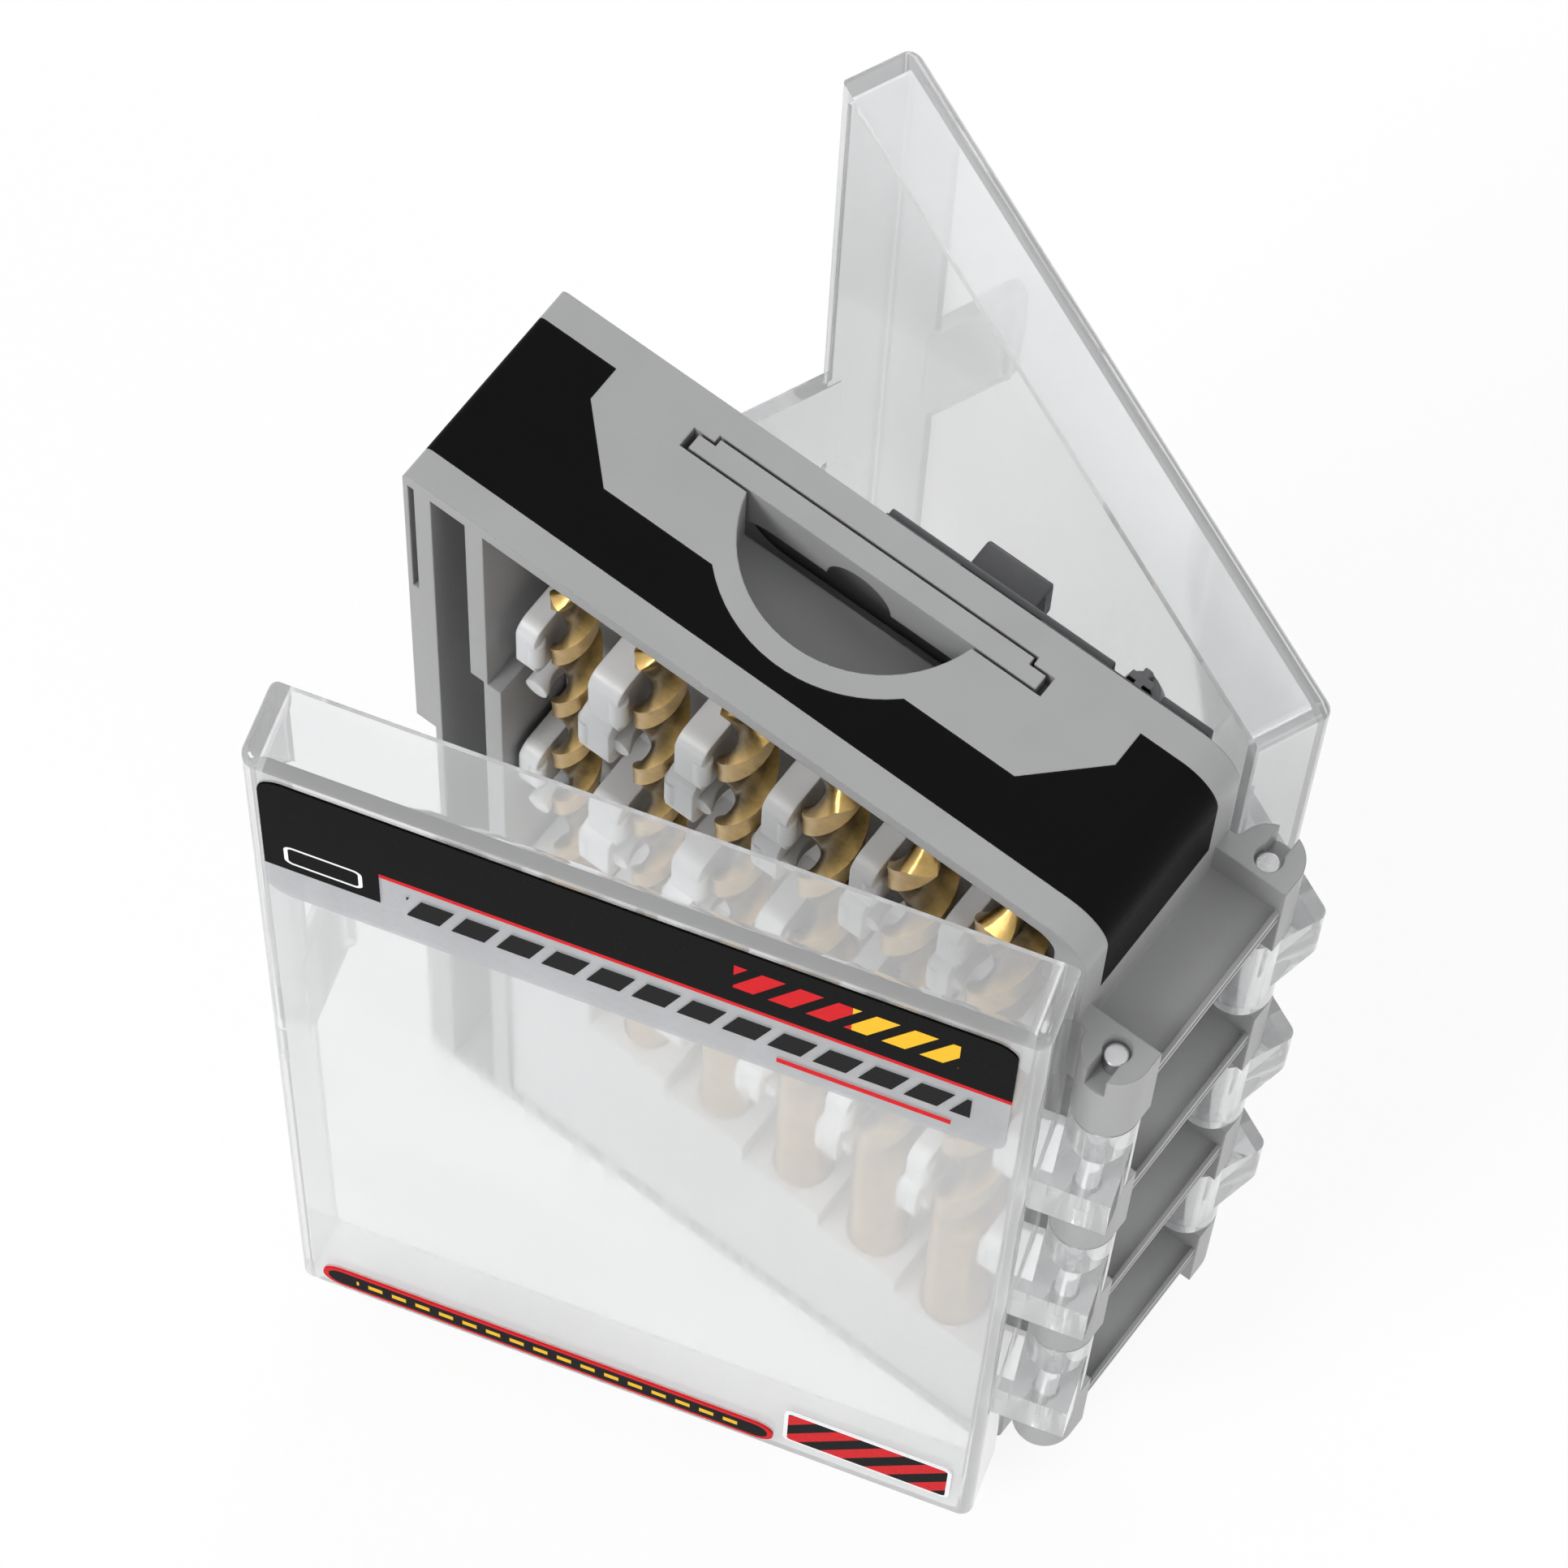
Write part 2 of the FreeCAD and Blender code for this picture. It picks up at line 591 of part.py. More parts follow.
def web_span(sign, share):
    """Limits of a share of a knuckle's height, from its foot on the front lid, from its head on the back lid."""
    return ("0", "%s * %s" % (share, KNUCKLE)) if sign < 0 else ("%s * (1 - %s)" % (KNUCKLE, share), KNUCKLE)


def make_lid(side, sign, angle):
    """A clear tray lid drawn shut round its pin: tray, three hinge knuckles and a latch tab with its catch."""
    x0 = "-(box_width + pin_offset)"
    x1 = "-pin_offset"
    y0, y1 = span(sign, "0", "lid_depth")
    form = slab(side + "_lid_form", x0, x1, y0, y1, "0", "case_height")
    outer_y = sign * size("lid_depth")
    wide = size("case_height")

    def outer_edge(place, run):
        return abs(place.y - outer_y) < size("lid_wall") / 2 and run.Length > 0

    def end_edge(place, run):
        return along(run, 1) or (along(run, 2) and place.x < -wide / 3)

    outside = rounded(side + "_lid_outside", form, (
        (outer_edge, size("lid_edge_radius")), (end_edge, size("lid_inner_radius"))))
    ry0, ry1 = span(sign, "-overrun", "lid_depth - lid_wall")
    room_form = slab(side + "_lid_room_form", x0 + " + lid_wall", x1 + " - lid_wall", ry0, ry1, "lid_wall",
                     "case_height - lid_wall")

    def room_corner(place, run):
        return along(run, 1)

    room = rounded(side + "_lid_room", room_form, ((room_corner, size("lid_inner_radius")),))
    tray = cut(side + "_lid_tray", outside, [room])

    ty0, ty1 = span(sign, "-latch_tab_reach", "lid_wall")
    tab_z = "(case_height - latch_tab_height) / 2"
    tab_form = slab(side + "_latch_form", x0, x0 + " + latch_tab_thickness", ty0, ty1, tab_z,
                    tab_z + " + latch_tab_height")

    def tab_tip(place, run):
        return along(run, 0) and sign * place.y < 0

    tab = rounded(side + "_latch", tab_form, ((tab_tip, size("latch_tab_end_radius")),))
    catch_y = "%s(latch_tab_reach - catch_from_tip)" % ("-" if sign > 0 else "")
    catch = rod(side + "_catch", x0 + " + latch_tab_thickness", catch_y, tab_z + " + latch_tab_end_radius",
                "catch_radius", "latch_tab_height - 2 * latch_tab_end_radius")
    parts = [tray, tab, catch]

    # Each knuckle's web has its tall face at the foot on the front lid and at the head on the back lid.
    inner_x, outer_x = ("-pin_offset - lid_wall / 2", "knuckle_reach")
    if sign < 0:
        inner_x, outer_x = ("-knuckle_reach", "pin_offset + lid_wall / 2")
    low, high = web_span(sign, WEB_FACE_SHARE)
    root_low, root_high = web_span(sign, WEB_ROOT_SHARE)
    outer_place = size("knuckle_outer") - size("knuckle_edge_radius")

    def web_edge(place, run):
        return along(run, 2) and abs(place.y) > outer_place and place.x * sign > 0

    for index in range(3):
        tag = "%s_knuckle_%d" % (side, index + 1)
        foot = "(%s - %s - knuckle_gap)" % (ear_top(index) + " - ear_height", KNUCKLE)
        parts.append(rod(tag + "_barrel", "0", "0", foot, "ear_boss_radius", KNUCKLE))
        web = doc.addObject("Part::Wedge", tag + "_web")
        for prop, formula in (
                ("Xmin", inner_x), ("Xmax", outer_x), ("X2min", inner_x), ("X2max", outer_x),
                ("Ymin", "knuckle_web"), ("Ymax", "knuckle_outer"),
                ("Zmin", root_low), ("Zmax", root_high), ("Z2min", low), ("Z2max", high)):
            bind(web, prop, formula)
        turn = FreeCAD.Rotation(FreeCAD.Vector(0, 0, 1), 90 - 90 * sign)
        web.Placement = FreeCAD.Placement(FreeCAD.Vector(), turn)
        seat(web, "0", "0", foot)
        parts.append(rounded(tag + "_web_form", web, ((web_edge, size("knuckle_edge_radius")),)))
    whole = fuse(side + "_lid_whole", parts)
    bore = rod(side + "_lid_bore", "0", "0", "0", "pin_radius + pin_running_gap", "case_height")
    return swing(cut(side + "_lid", whole, [bore]), sign, angle)


def make_label(name, left_inset, width, foot, height, radius_name):
    """A thin printed sheet on the front lid's outer face, placed from the lid's latch side corner."""
    x0 = "-(box_width + pin_offset) + " + left_inset
    y0, y1 = span(-1, "lid_depth", "lid_depth + label_thickness")
    sheet_form = slab(name + "_form", x0, "%s + %s" % (x0, width), y0, y1, foot, "%s + %s" % (foot, height))

    def corner(place, run):
        return along(run, 1)

    return swing(rounded(name, sheet_form, ((corner, size(radius_name)),)), -1, "front_open")


def drill_ring(radius, height, turn, share):
    """The corners of one cross-section of a two-flute drill, turned by an angle: two lands and two flutes."""
    points = []
    for half in (0, 180):
        for degrees, reach in SECTION_SHARES:
            angle = math.radians(degrees + half) + turn
            points.append(FreeCAD.Vector(
                radius * share * reach * math.cos(angle), radius * share * reach * math.sin(angle), height))
    return points


def flat(points):
    return Part.Face(Part.makePolygon(points + [points[0]]))


def faceted(rings):
    """A solid of flat faces over rings of corners, closed at both ends."""
    faces = [flat(rings[0]), flat(rings[-1])]
    for lower, upper in zip(rings, rings[1:]):
        for index in range(len(lower)):
            following = (index + 1) % len(lower)
            faces.append(flat([lower[index], lower[following], upper[following]]))
            faces.append(flat([lower[index], upper[following], upper[index]]))
    shell = Part.makeShell(faces)
    shell.sewShape()
    solid = Part.makeSolid(shell)
    if solid.Volume < 0:
        solid.reverse()
    return solid


def drill_shape(diameter, length):
    """A twist drill that stands on its shank: a plain shank, twisted flutes and a cone point."""
    radius = diameter / 2
    flute_length = FLUTE_SHARE * length
    point_length = POINT_SHARE * diameter
    shank_length = length - flute_length
    turns = (flute_length - point_length) / (LEAD_SHARE * diameter)
    steps = int(round(turns * SECTIONS_PER_TURN))
    rise = (flute_length - point_length) / steps
    twist = 2 * math.pi * turns / steps
    rings = [drill_ring(radius, shank_length + index * rise, index * twist, 1.0) for index in range(steps + 1)]
    rings.append(drill_ring(radius, length, steps * twist, CHISEL_SHARE))
    return faceted(rings).fuse(Part.makeCylinder(radius, shank_length))


def make_drill(name, length, x, y, z):
    obj = doc.addObject("Part::Feature", name)
    obj.Shape = drill_shape(size(name + "_diameter"), length)
    return seat(obj, x, y, z)


def large_drill_x(index):
    """Centre of one of the large drills, as a formula."""
    return "(%s + first_drill_inset + %d * %s)" % (TRAY_LEFT, index, DRILL_PITCH)


def large_radius(index):
    return "(large_drill_%d_diameter / 2)" % (index + 1)


def finger_width(index, sign):
    """Width of the finger on one side of a drill: a share of the room up to the next drill or the tray's wall."""
    if index + sign < 0:
        room = "first_drill_inset"
    elif index + sign == len(LARGE_DRILLS):
        room = "last_drill_inset"
    else:
        room = "%s - %s" % (DRILL_PITCH, large_radius(index + sign))
    return "(%s * (%s - %s))" % (FINGER_SHARE, room, large_radius(index))


def make_clip_rail(name, level):
    """A white rail across the tray with a finger on each side of every drill, set high and low by turns."""
    foot = "(%s + %d * %s)" % (RAIL_FOOT, level, RAIL_PITCH)
    head = "(%s + %s * %s)" % (foot, HEAD_SHARE, RAIL_PITCH)
    parts = [slab(name + "_bar", TRAY_LEFT + " + insert_side_gap", TRAY_RIGHT + " - insert_side_gap",
                  "-(web_wall / 2 + rail_thickness)", "-web_wall / 2", foot,
                  "%s + %s - rail_gap" % (foot, RAIL_PITCH))]
    extras = []
    for index in range(len(LARGE_DRILLS)):
        centre = large_drill_x(index)
        for tag, sign, drop in (("left", -1, "0"), ("right", 1, "%s + finger_spacing" % FINGER_HEIGHT)):
            top = "(%s - (%s))" % (head, drop)
            side = "+" if sign > 0 else "-"
            inner = "(%s %s (%s + clip_gap))" % (centre, side, large_radius(index))
            outer = "(%s %s %s)" % (inner, side, finger_width(index, sign))
            x0, x1 = (inner, outer) if sign > 0 else (outer, inner)
            stem = "%s_%s_%d" % (name, tag, index + 1)
            parts.append(slab(stem, x0, x1, "-(web_wall / 2 + finger_reach)", "-web_wall / 2",
                              "%s - %s" % (top, FINGER_HEIGHT), top))
            extras.append(rod(stem + "_hook", "(%s %s finger_hook / 2)" % (inner, side), "-finger_hook_y",
                              "%s - %s * 3 / 4" % (top, FINGER_HEIGHT), "finger_hook", FINGER_HEIGHT + " / 2"))
        knob_x = "%s - %s - clip_gap - knob_radius / 2" % (centre, large_radius(index))
        extras.append(rod("%s_knob_%d" % (name, index + 1), knob_x, "-(web_wall / 2 + knob_reach)",
                          "%s - %s - knob_below_finger" % (head, FINGER_HEIGHT), "knob_radius", "knob_reach", "Y"))
    tip_y = size("web_wall") / 2 + size("finger_reach")

    def tip(place, run):
        return along(run, 0) and abs(place.y + tip_y) < size("clip_gap")

    fingers = rounded(name + "_fingers", fuse(name + "_form", parts), ((tip, size("finger_tip_radius")),))
    bores = [rod("%s_bore_%d" % (name, index + 1), large_drill_x(index), "-drill_row_y", "0",
                 large_radius(index) + " + clip_gap", "case_height")
             for index in range(len(LARGE_DRILLS))]
    return cut(name, fuse(name + "_clips", [fingers] + extras), bores)


def make_shank_block():
    """A stepped block on the tray's floor: every drill's shank stands in its own socket."""
    parts = []
    bores = []
    for index in range(len(LARGE_DRILLS)):
        centre = large_drill_x(index)
        seat_z = "large_drill_%d_foot" % (index + 1)
        left = centre + " - %s / 2" % DRILL_PITCH if index else TRAY_LEFT + " + insert_side_gap"
        right = centre + " + %s / 2" % DRILL_PITCH
        if index == len(LARGE_DRILLS) - 1:
            right = TRAY_RIGHT + " - insert_side_gap"
        parts.append(slab("shank_step_%d" % (index + 1), left, right, "-(web_wall / 2 + shank_block_reach)",
                          "-web_wall / 2", "shell_wall", seat_z + " + shank_seat_depth"))
        bores.append(rod("shank_bore_%d" % (index + 1), centre, "-drill_row_y", seat_z,
                         large_radius(index) + " + shank_bore_gap", "case_height"))
    block = fuse("shank_block_form", parts)
    inside = common("shank_block_fit", block, doc.getObject("front_pocket"))
    return cut("shank_block", inside, bores)


def small_drill_x(index):
    """Centre of one of the small drills, as a formula."""
    return "(%s + first_small_inset + %d * %s)" % (TRAY_LEFT, index, SMALL_PITCH)


def small_drill_y(index):
    """The small drills stand by turns near the web and near the tray's mouth."""
    return "small_drill_far" if index % 2 else "small_drill_near"


def make_small_block(name, foot, height, bore_foot):
    """A block across the small drills' part of the driver side tray, bored for each of them."""
    form = slab(name + "_form", TRAY_LEFT + " + insert_side_gap", SMALL_RIGHT, "web_wall / 2",
                "web_wall / 2 + small_block_reach", foot, "%s + %s" % (foot, height))
    inside = common(name + "_fit", form, doc.getObject("back_pocket"))
    bores = []
    for index in range(len(SMALL_DRILLS)):
        bores.append(rod("%s_bore_%d" % (name, index + 1), small_drill_x(index), small_drill_y(index), bore_foot,
                         "small_drill_%d_diameter / 2 + shank_bore_gap" % (index + 1), "case_height"))
    return cut(name, inside, bores)


def rack_x(share):
    """A place across the bit rack, as a formula."""
    return "(%s + %s * (%s - %s))" % (RACK_LEFT, share, TRAY_RIGHT, RACK_LEFT)


def make_bit_rack(places):
    """The dark rack: a block in the tray with a face that stands proud, channelled for the bits and the holder."""
    low = slab("rack_low", RACK_LEFT, TRAY_RIGHT + " - seat_gap", "web_wall / 2", RACK_FACE, "shell_wall",
               "case_height - tab_length - tab_slot_gap - scoop_floor - seat_gap")
    high = slab("rack_high", RACK_LEFT, TRAY_RIGHT + " - seat_gap", RACK_FACE + " - rack_plate", RACK_FACE,
                "shell_wall", CEILING + " - seat_gap")
    tools = []
    for index, (x, foot) in enumerate(places):
        tools.append(rod("rack_channel_%d" % (index + 1), x, BIT_ROW_Y, foot,
                         "bit_across_flats / sqrt(3) + bit_channel_gap", BIT_LENGTH + " + seat_gap"))
    tools.append(rod("rack_holder_channel", rack_x(HOLDER_SHARE), HOLDER_ROW_Y, HOLDER_FOOT,
                     "holder_radius + bit_channel_gap", "case_height"))
    return cut("bit_rack", common("rack_fit", fuse("rack_form", [low, high]), doc.getObject("back_pocket")), tools)


def make_bit(name, x, z, blade):
    """A hexagonal insert bit with a cross or a blade tip."""
    flats = "bit_across_flats"
    shank_length = "(%s * %s)" % (BIT_SHANK_SHARE, BIT_LENGTH)
    neck_length = "(%s * %s)" % (BIT_NECK_SHARE, BIT_LENGTH)
    tip_length = "(%s * %s)" % (BIT_TIP_SHARE, BIT_LENGTH)
    shank = hexagon(name + "_shank", x, BIT_ROW_Y, z, flats, shank_length)
    neck = taper(name + "_neck", x, BIT_ROW_Y, z + " + " + shank_length, flats + " / 2", "bit_neck_radius",
                 neck_length)
    stem_z = "%s + %s + %s" % (z, shank_length, neck_length)
    stem = rod(name + "_stem", x, BIT_ROW_Y, stem_z, "bit_neck_radius",
               "%s - %s - %s - %s" % (BIT_LENGTH, shank_length, neck_length, tip_length))
    tip_z = "%s + %s - %s" % (z, BIT_LENGTH, tip_length)
    if blade:
        tip = doc.addObject("Part::Wedge", name + "_tip")
        half = "bit_neck_radius * %s" % BLADE_SHARE
        for prop, formula in (
                ("Xmin", "-" + half), ("Xmax", half), ("X2min", "-" + half), ("X2max", half),
                ("Ymin", "0"), ("Ymax", tip_length),
                ("Zmin", "-" + half), ("Zmax", half), ("Z2min", "-bit_blade_half"), ("Z2max", "bit_blade_half")):
            bind(tip, prop, formula)
        tip.Placement = FreeCAD.Placement(FreeCAD.Vector(), FreeCAD.Rotation(FreeCAD.Vector(1, 0, 0), 90))
        seat(tip, x, BIT_ROW_Y, tip_z)
        return fuse(name, [shank, neck, stem, tip])
    tip = taper(name + "_tip", x, BIT_ROW_Y, tip_z, "bit_neck_radius", "bit_tip_radius", tip_length)
    form = fuse(name + "_form", [shank, neck, stem, tip])
    slots = []
    for tag, sx, sy in (("a", 1, 1), ("b", 1, -1), ("c", -1, 1), ("d", -1, -1)):
        x0 = "%s %s bit_cross_slot / 2" % (x, "+" if sx > 0 else "-")
        y0 = "%s %s bit_cross_slot / 2" % (BIT_ROW_Y, "+" if sy > 0 else "-")
        reach_x = "%s %s bit_across_flats" % (x, "+" if sx > 0 else "-")
        reach_y = "%s %s bit_across_flats" % (BIT_ROW_Y, "+" if sy > 0 else "-")
        xs = (x0, reach_x) if sx > 0 else (reach_x, x0)
        ys = (y0, reach_y) if sy > 0 else (reach_y, y0)
        slots.append(slab(name + "_slot_" + tag, xs[0], xs[1], ys[0], ys[1],
                          "%s + %s / 2" % (tip_z, tip_length), "%s + 2 * %s" % (tip_z, tip_length)))
    return cut(name, form, slots)


def make_holder():
    """The bit holder: a round body with its hexagonal shank up."""
    x = rack_x(HOLDER_SHARE)
    shank_z = "(case_height - holder_top_gap - holder_shank_length)"
    body = rod("holder_body", x, HOLDER_ROW_Y, HOLDER_FOOT, "holder_radius", "%s - %s" % (shank_z, HOLDER_FOOT))
    shank = hexagon("holder_shank", x, HOLDER_ROW_Y, shank_z, "bit_across_flats", "holder_shank_length")
    socket = hexagon("holder_socket", x, HOLDER_ROW_Y, HOLDER_FOOT + " - overrun", "bit_across_flats",
                     "overrun + holder_socket_depth")
    return cut("bit_holder", fuse("holder_form", [body, shank]), [socket])


def make_magnet():
    """The round magnet at the bottom of the holder's socket."""
    return rod("holder_magnet", rack_x(HOLDER_SHARE), HOLDER_ROW_Y,
               HOLDER_FOOT + " + holder_socket_depth - magnet_thickness", "magnet_radius", "magnet_thickness")


outer_block = make_block()
inlay = make_inlay(outer_block)
node(make_body(outer_block, inlay), "case_body")
node(inlay, "top_inlay")
node(make_hang_tab(), "hang_tab")
node(make_pin("front", "-"), "front_hinge_pin")
node(make_pin("back", ""), "back_hinge_pin")
node(make_lid("front", -1, "front_open"), "front_lid")
node(make_lid("back", 1, "back_open"), "back_lid")
node(make_label("header_label", "header_left_inset", "(box_width - header_left_inset - header_right_inset)",
                "(case_height - header_drop - header_height)", "header_height", "header_radius"), "header_label")
node(make_label("footer_label", "footer_left_inset", "(box_width - footer_left_inset - footer_right_inset)",
                "footer_foot", "footer_height", "footer_radius"), "footer_label")
node(make_label("badge_label", "(box_width - badge_right_inset - badge_width)", "badge_width", "badge_foot",
                "badge_height", "badge_radius"), "badge_label")

for level, name in enumerate(("lower_clip_rail", "middle_clip_rail", "upper_clip_rail")):
    node(make_clip_rail(name, level), name)
node(make_shank_block(), "shank_block")
for index in range(len(LARGE_DRILLS)):
    name = "large_drill_%d" % (index + 1)
    length = size("case_height") - size("drill_tip_drop") - size(name + "_foot")
    node(make_drill(name, length, large_drill_x(index), "-drill_row_y", name + "_foot"), name)

node(make_small_block("small_drill_base", "shell_wall", "small_base_height", "small_drill_foot"),
     "small_drill_base")
node(make_small_block("small_drill_comb", "(case_height - small_comb_drop)", "small_comb_height", "0"),
     "small_drill_comb")
for index in range(len(SMALL_DRILLS)):
    name = "small_drill_%d" % (index + 1)
    length = size("case_height") - size(name + "_drop") - size("small_drill_foot")
    node(make_drill(name, length, small_drill_x(index), small_drill_y(index), "small_drill_foot"), name)

bit_places = [(rack_x(share), "(first_bit_foot + %d * (%s + bit_row_gap))" % (row, BIT_LENGTH))
              for row in range(2) for share in COLUMN_SHARES]
tall_foot = "(%s + tall_column_gap)" % BIT_ROWS_HEAD
bit_places += [(rack_x(TALL_SHARE), "(%s + %d * (%s + tall_row_gap))" % (tall_foot, row, BIT_LENGTH))
               for row in range(2)]
node(make_bit_rack(bit_places), "bit_rack")
for number, (x, z) in enumerate(bit_places, 1):
    node(make_bit("driver_bit_%d" % number, x, z, number % 3 == 0), "driver_bit_%d" % number)
node(make_holder(), "bit_holder")
node(make_magnet(), "holder_magnet")

doc.recompute()
for obj in doc.Objects:
    if "Invalid" in obj.State or "Error" in obj.State:
        raise RuntimeError("%s did not build: %s" % (obj.Name, obj.State))
os.makedirs("parts", exist_ok=True)
for obj in NODES:
    if obj.Shape.isNull() or not obj.Shape.isValid():
        raise RuntimeError("%s is not a valid solid" % obj.Label)
for obj in NODES:
    obj.Shape.exportStep("parts/%s.step" % obj.Label)
    print("%-20s solids %d volume %9.1f" % (obj.Label, len(obj.Shape.Solids), obj.Shape.Volume))
print("%d nodes" % len(NODES))
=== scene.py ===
"""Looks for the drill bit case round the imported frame: materials, turned drills, rack mouldings, studio."""
import json
import math

import bmesh
import bpy
from mathutils import Matrix, Vector

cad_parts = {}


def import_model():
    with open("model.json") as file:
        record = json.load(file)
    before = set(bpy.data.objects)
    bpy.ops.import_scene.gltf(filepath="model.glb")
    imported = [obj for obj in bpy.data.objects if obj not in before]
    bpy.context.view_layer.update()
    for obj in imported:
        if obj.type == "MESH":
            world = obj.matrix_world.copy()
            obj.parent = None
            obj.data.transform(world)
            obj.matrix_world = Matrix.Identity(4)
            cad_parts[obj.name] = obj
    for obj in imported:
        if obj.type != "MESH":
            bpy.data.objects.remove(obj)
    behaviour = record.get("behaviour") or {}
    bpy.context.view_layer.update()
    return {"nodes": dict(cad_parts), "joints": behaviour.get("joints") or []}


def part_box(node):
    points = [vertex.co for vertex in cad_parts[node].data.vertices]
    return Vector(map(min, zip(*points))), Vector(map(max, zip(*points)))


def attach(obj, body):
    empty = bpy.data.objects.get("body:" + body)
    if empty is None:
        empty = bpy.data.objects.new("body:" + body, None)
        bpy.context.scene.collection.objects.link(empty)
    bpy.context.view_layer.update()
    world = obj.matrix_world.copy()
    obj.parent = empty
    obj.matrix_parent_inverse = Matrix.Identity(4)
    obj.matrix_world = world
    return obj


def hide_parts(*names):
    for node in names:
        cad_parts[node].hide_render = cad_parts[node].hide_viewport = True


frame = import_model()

# Lengths are in metres, but for the labels' artwork and the camera's lens, which are in millimetres.
nodes = frame["nodes"]

# Node helpers. The four places are a colour Mix node's sockets, and nearly all of a noise's values lie
# between NOISE_LOW and NOISE_HIGH.
MIX_FACTOR, MIX_FIRST, MIX_SECOND, MIX_RESULT = 0, 6, 7, 2
NOISE_LOW, NOISE_HIGH = 0.3, 0.7
EDGE_SAMPLES = 4


class Graph:
    """A material's node tree with short calls for the nodes that the looks use."""

    def __init__(self, name):
        self.material = bpy.data.materials.new(name)
        self.material.use_nodes = True
        self.tree = self.material.node_tree
        self.tree.nodes.clear()
        self.out = self.new("ShaderNodeOutputMaterial")
        self.shader = self.new("ShaderNodeBsdfPrincipled")
        self.link(self.shader.outputs["BSDF"], self.out.inputs["Surface"])
        self.coord = self.new("ShaderNodeTexCoord").outputs["Object"]

    def new(self, kind, **settings):
        made = self.tree.nodes.new(kind)
        for key, value in settings.items():
            setattr(made, key, value)
        return made

    def link(self, source, target):
        self.tree.links.new(source, target)

    def feed(self, target, value):
        """Link a socket to the target, or write a plain value into it."""
        if isinstance(value, bpy.types.NodeSocket):
            self.link(value, target)
        else:
            target.default_value = value

    def uniform(self, name, value):
        """Give the shader one value all over the surface."""
        self.shader.inputs[name].default_value = value

    def math(self, operation, first, second=0.0):
        made = self.new("ShaderNodeMath", operation=operation)
        for target, value in zip(made.inputs, (first, second)):
            self.feed(target, value)
        return made.outputs[0]

    def dot(self, vector, direction):
        made = self.new("ShaderNodeVectorMath", operation="DOT_PRODUCT")
        self.feed(made.inputs[0], vector)
        made.inputs[1].default_value = direction
        return made.outputs["Value"]

    def stretched(self, scale):
        made = self.new("ShaderNodeMapping")
        self.link(self.coord, made.inputs["Vector"])
        made.inputs["Scale"].default_value = scale
        return made.outputs["Vector"]

    def noise(self, scale, detail, rough, vector=None):
        made = self.new("ShaderNodeTexNoise")
        self.link(vector or self.coord, made.inputs["Vector"])
        made.inputs["Scale"].default_value = scale
        made.inputs["Detail"].default_value = detail
        made.inputs["Roughness"].default_value = rough
        return made.outputs["Fac"]

    def spread(self, value, low, high, start=NOISE_LOW, end=NOISE_HIGH):
        """Stretch a value's usual range, from start to end, over low to high."""
        made = self.new("ShaderNodeMapRange")
        self.link(value, made.inputs["Value"])
        made.inputs["From Min"].default_value = start
        made.inputs["From Max"].default_value = end
        made.inputs["To Min"].default_value = low
        made.inputs["To Max"].default_value = high
        return made.outputs["Result"]

    def mix(self, factor, first, second):
        made = self.new("ShaderNodeMix", data_type="RGBA")
        self.feed(made.inputs[MIX_FACTOR], factor)
        self.feed(made.inputs[MIX_FIRST], first)
        self.feed(made.inputs[MIX_SECOND], second)
        return made.outputs[MIX_RESULT]

    def average(self, first, second):
        return self.math("MULTIPLY", self.math("ADD", first, second), 0.5)

    def both(self, *masks):
        result = masks[0]
        for mask in masks[1:]:
            result = self.math("MULTIPLY", result, mask)
        return result

    def between(self, value, low, high):
        return self.both(self.math("GREATER_THAN", value, low), self.math("LESS_THAN", value, high))

    def drifting_colour(self, noise, first, second):
        """Base colour that drifts from the first to the second with a noise."""
        self.link(self.mix(self.spread(noise, 0.0, 1.0), first, second), self.shader.inputs["Base Color"])

    def drifting_gloss(self, noise, smooth, rough):
        """Roughness that drifts from smooth to rough with a noise."""
        self.link(self.spread(noise, smooth, rough), self.shader.inputs["Roughness"])

    def bump(self, height, distance, strength, edge=None):
        """Relief from a height and, where an edge radius is given, shader-rounded edges under it."""
        made = self.new("ShaderNodeBump")
        made.inputs["Strength"].default_value = strength
        made.inputs["Distance"].default_value = distance
        self.link(height, made.inputs["Height"])
        if edge:
            rounded = self.new("ShaderNodeBevel", samples=EDGE_SAMPLES)
            rounded.inputs["Radius"].default_value = edge
            self.link(rounded.outputs["Normal"], made.inputs["Normal"])
        self.link(made.outputs["Normal"], self.shader.inputs["Normal"])


def rgb(red, green, blue):
    return (red, green, blue, 1.0)


def shade(colour, amount):
    return rgb(*(min(1.0, part * amount) for part in colour[:3]))


# Moulded plastic
DRIFT_SCALE = 45.0
FLOW_SCALE = 160.0
FLOW_STRETCH = (1.0, 1.0, 0.12)
FINE_GRAIN = 2200.0
GRAIN_DEPTH = 0.00002
MOULDED_EDGE = 0.00025
MOULDED_GLOSS = 0.5
ROUGH_SWING = 0.06
SCATTER_REACH = (0.002, 0.002, 0.002)


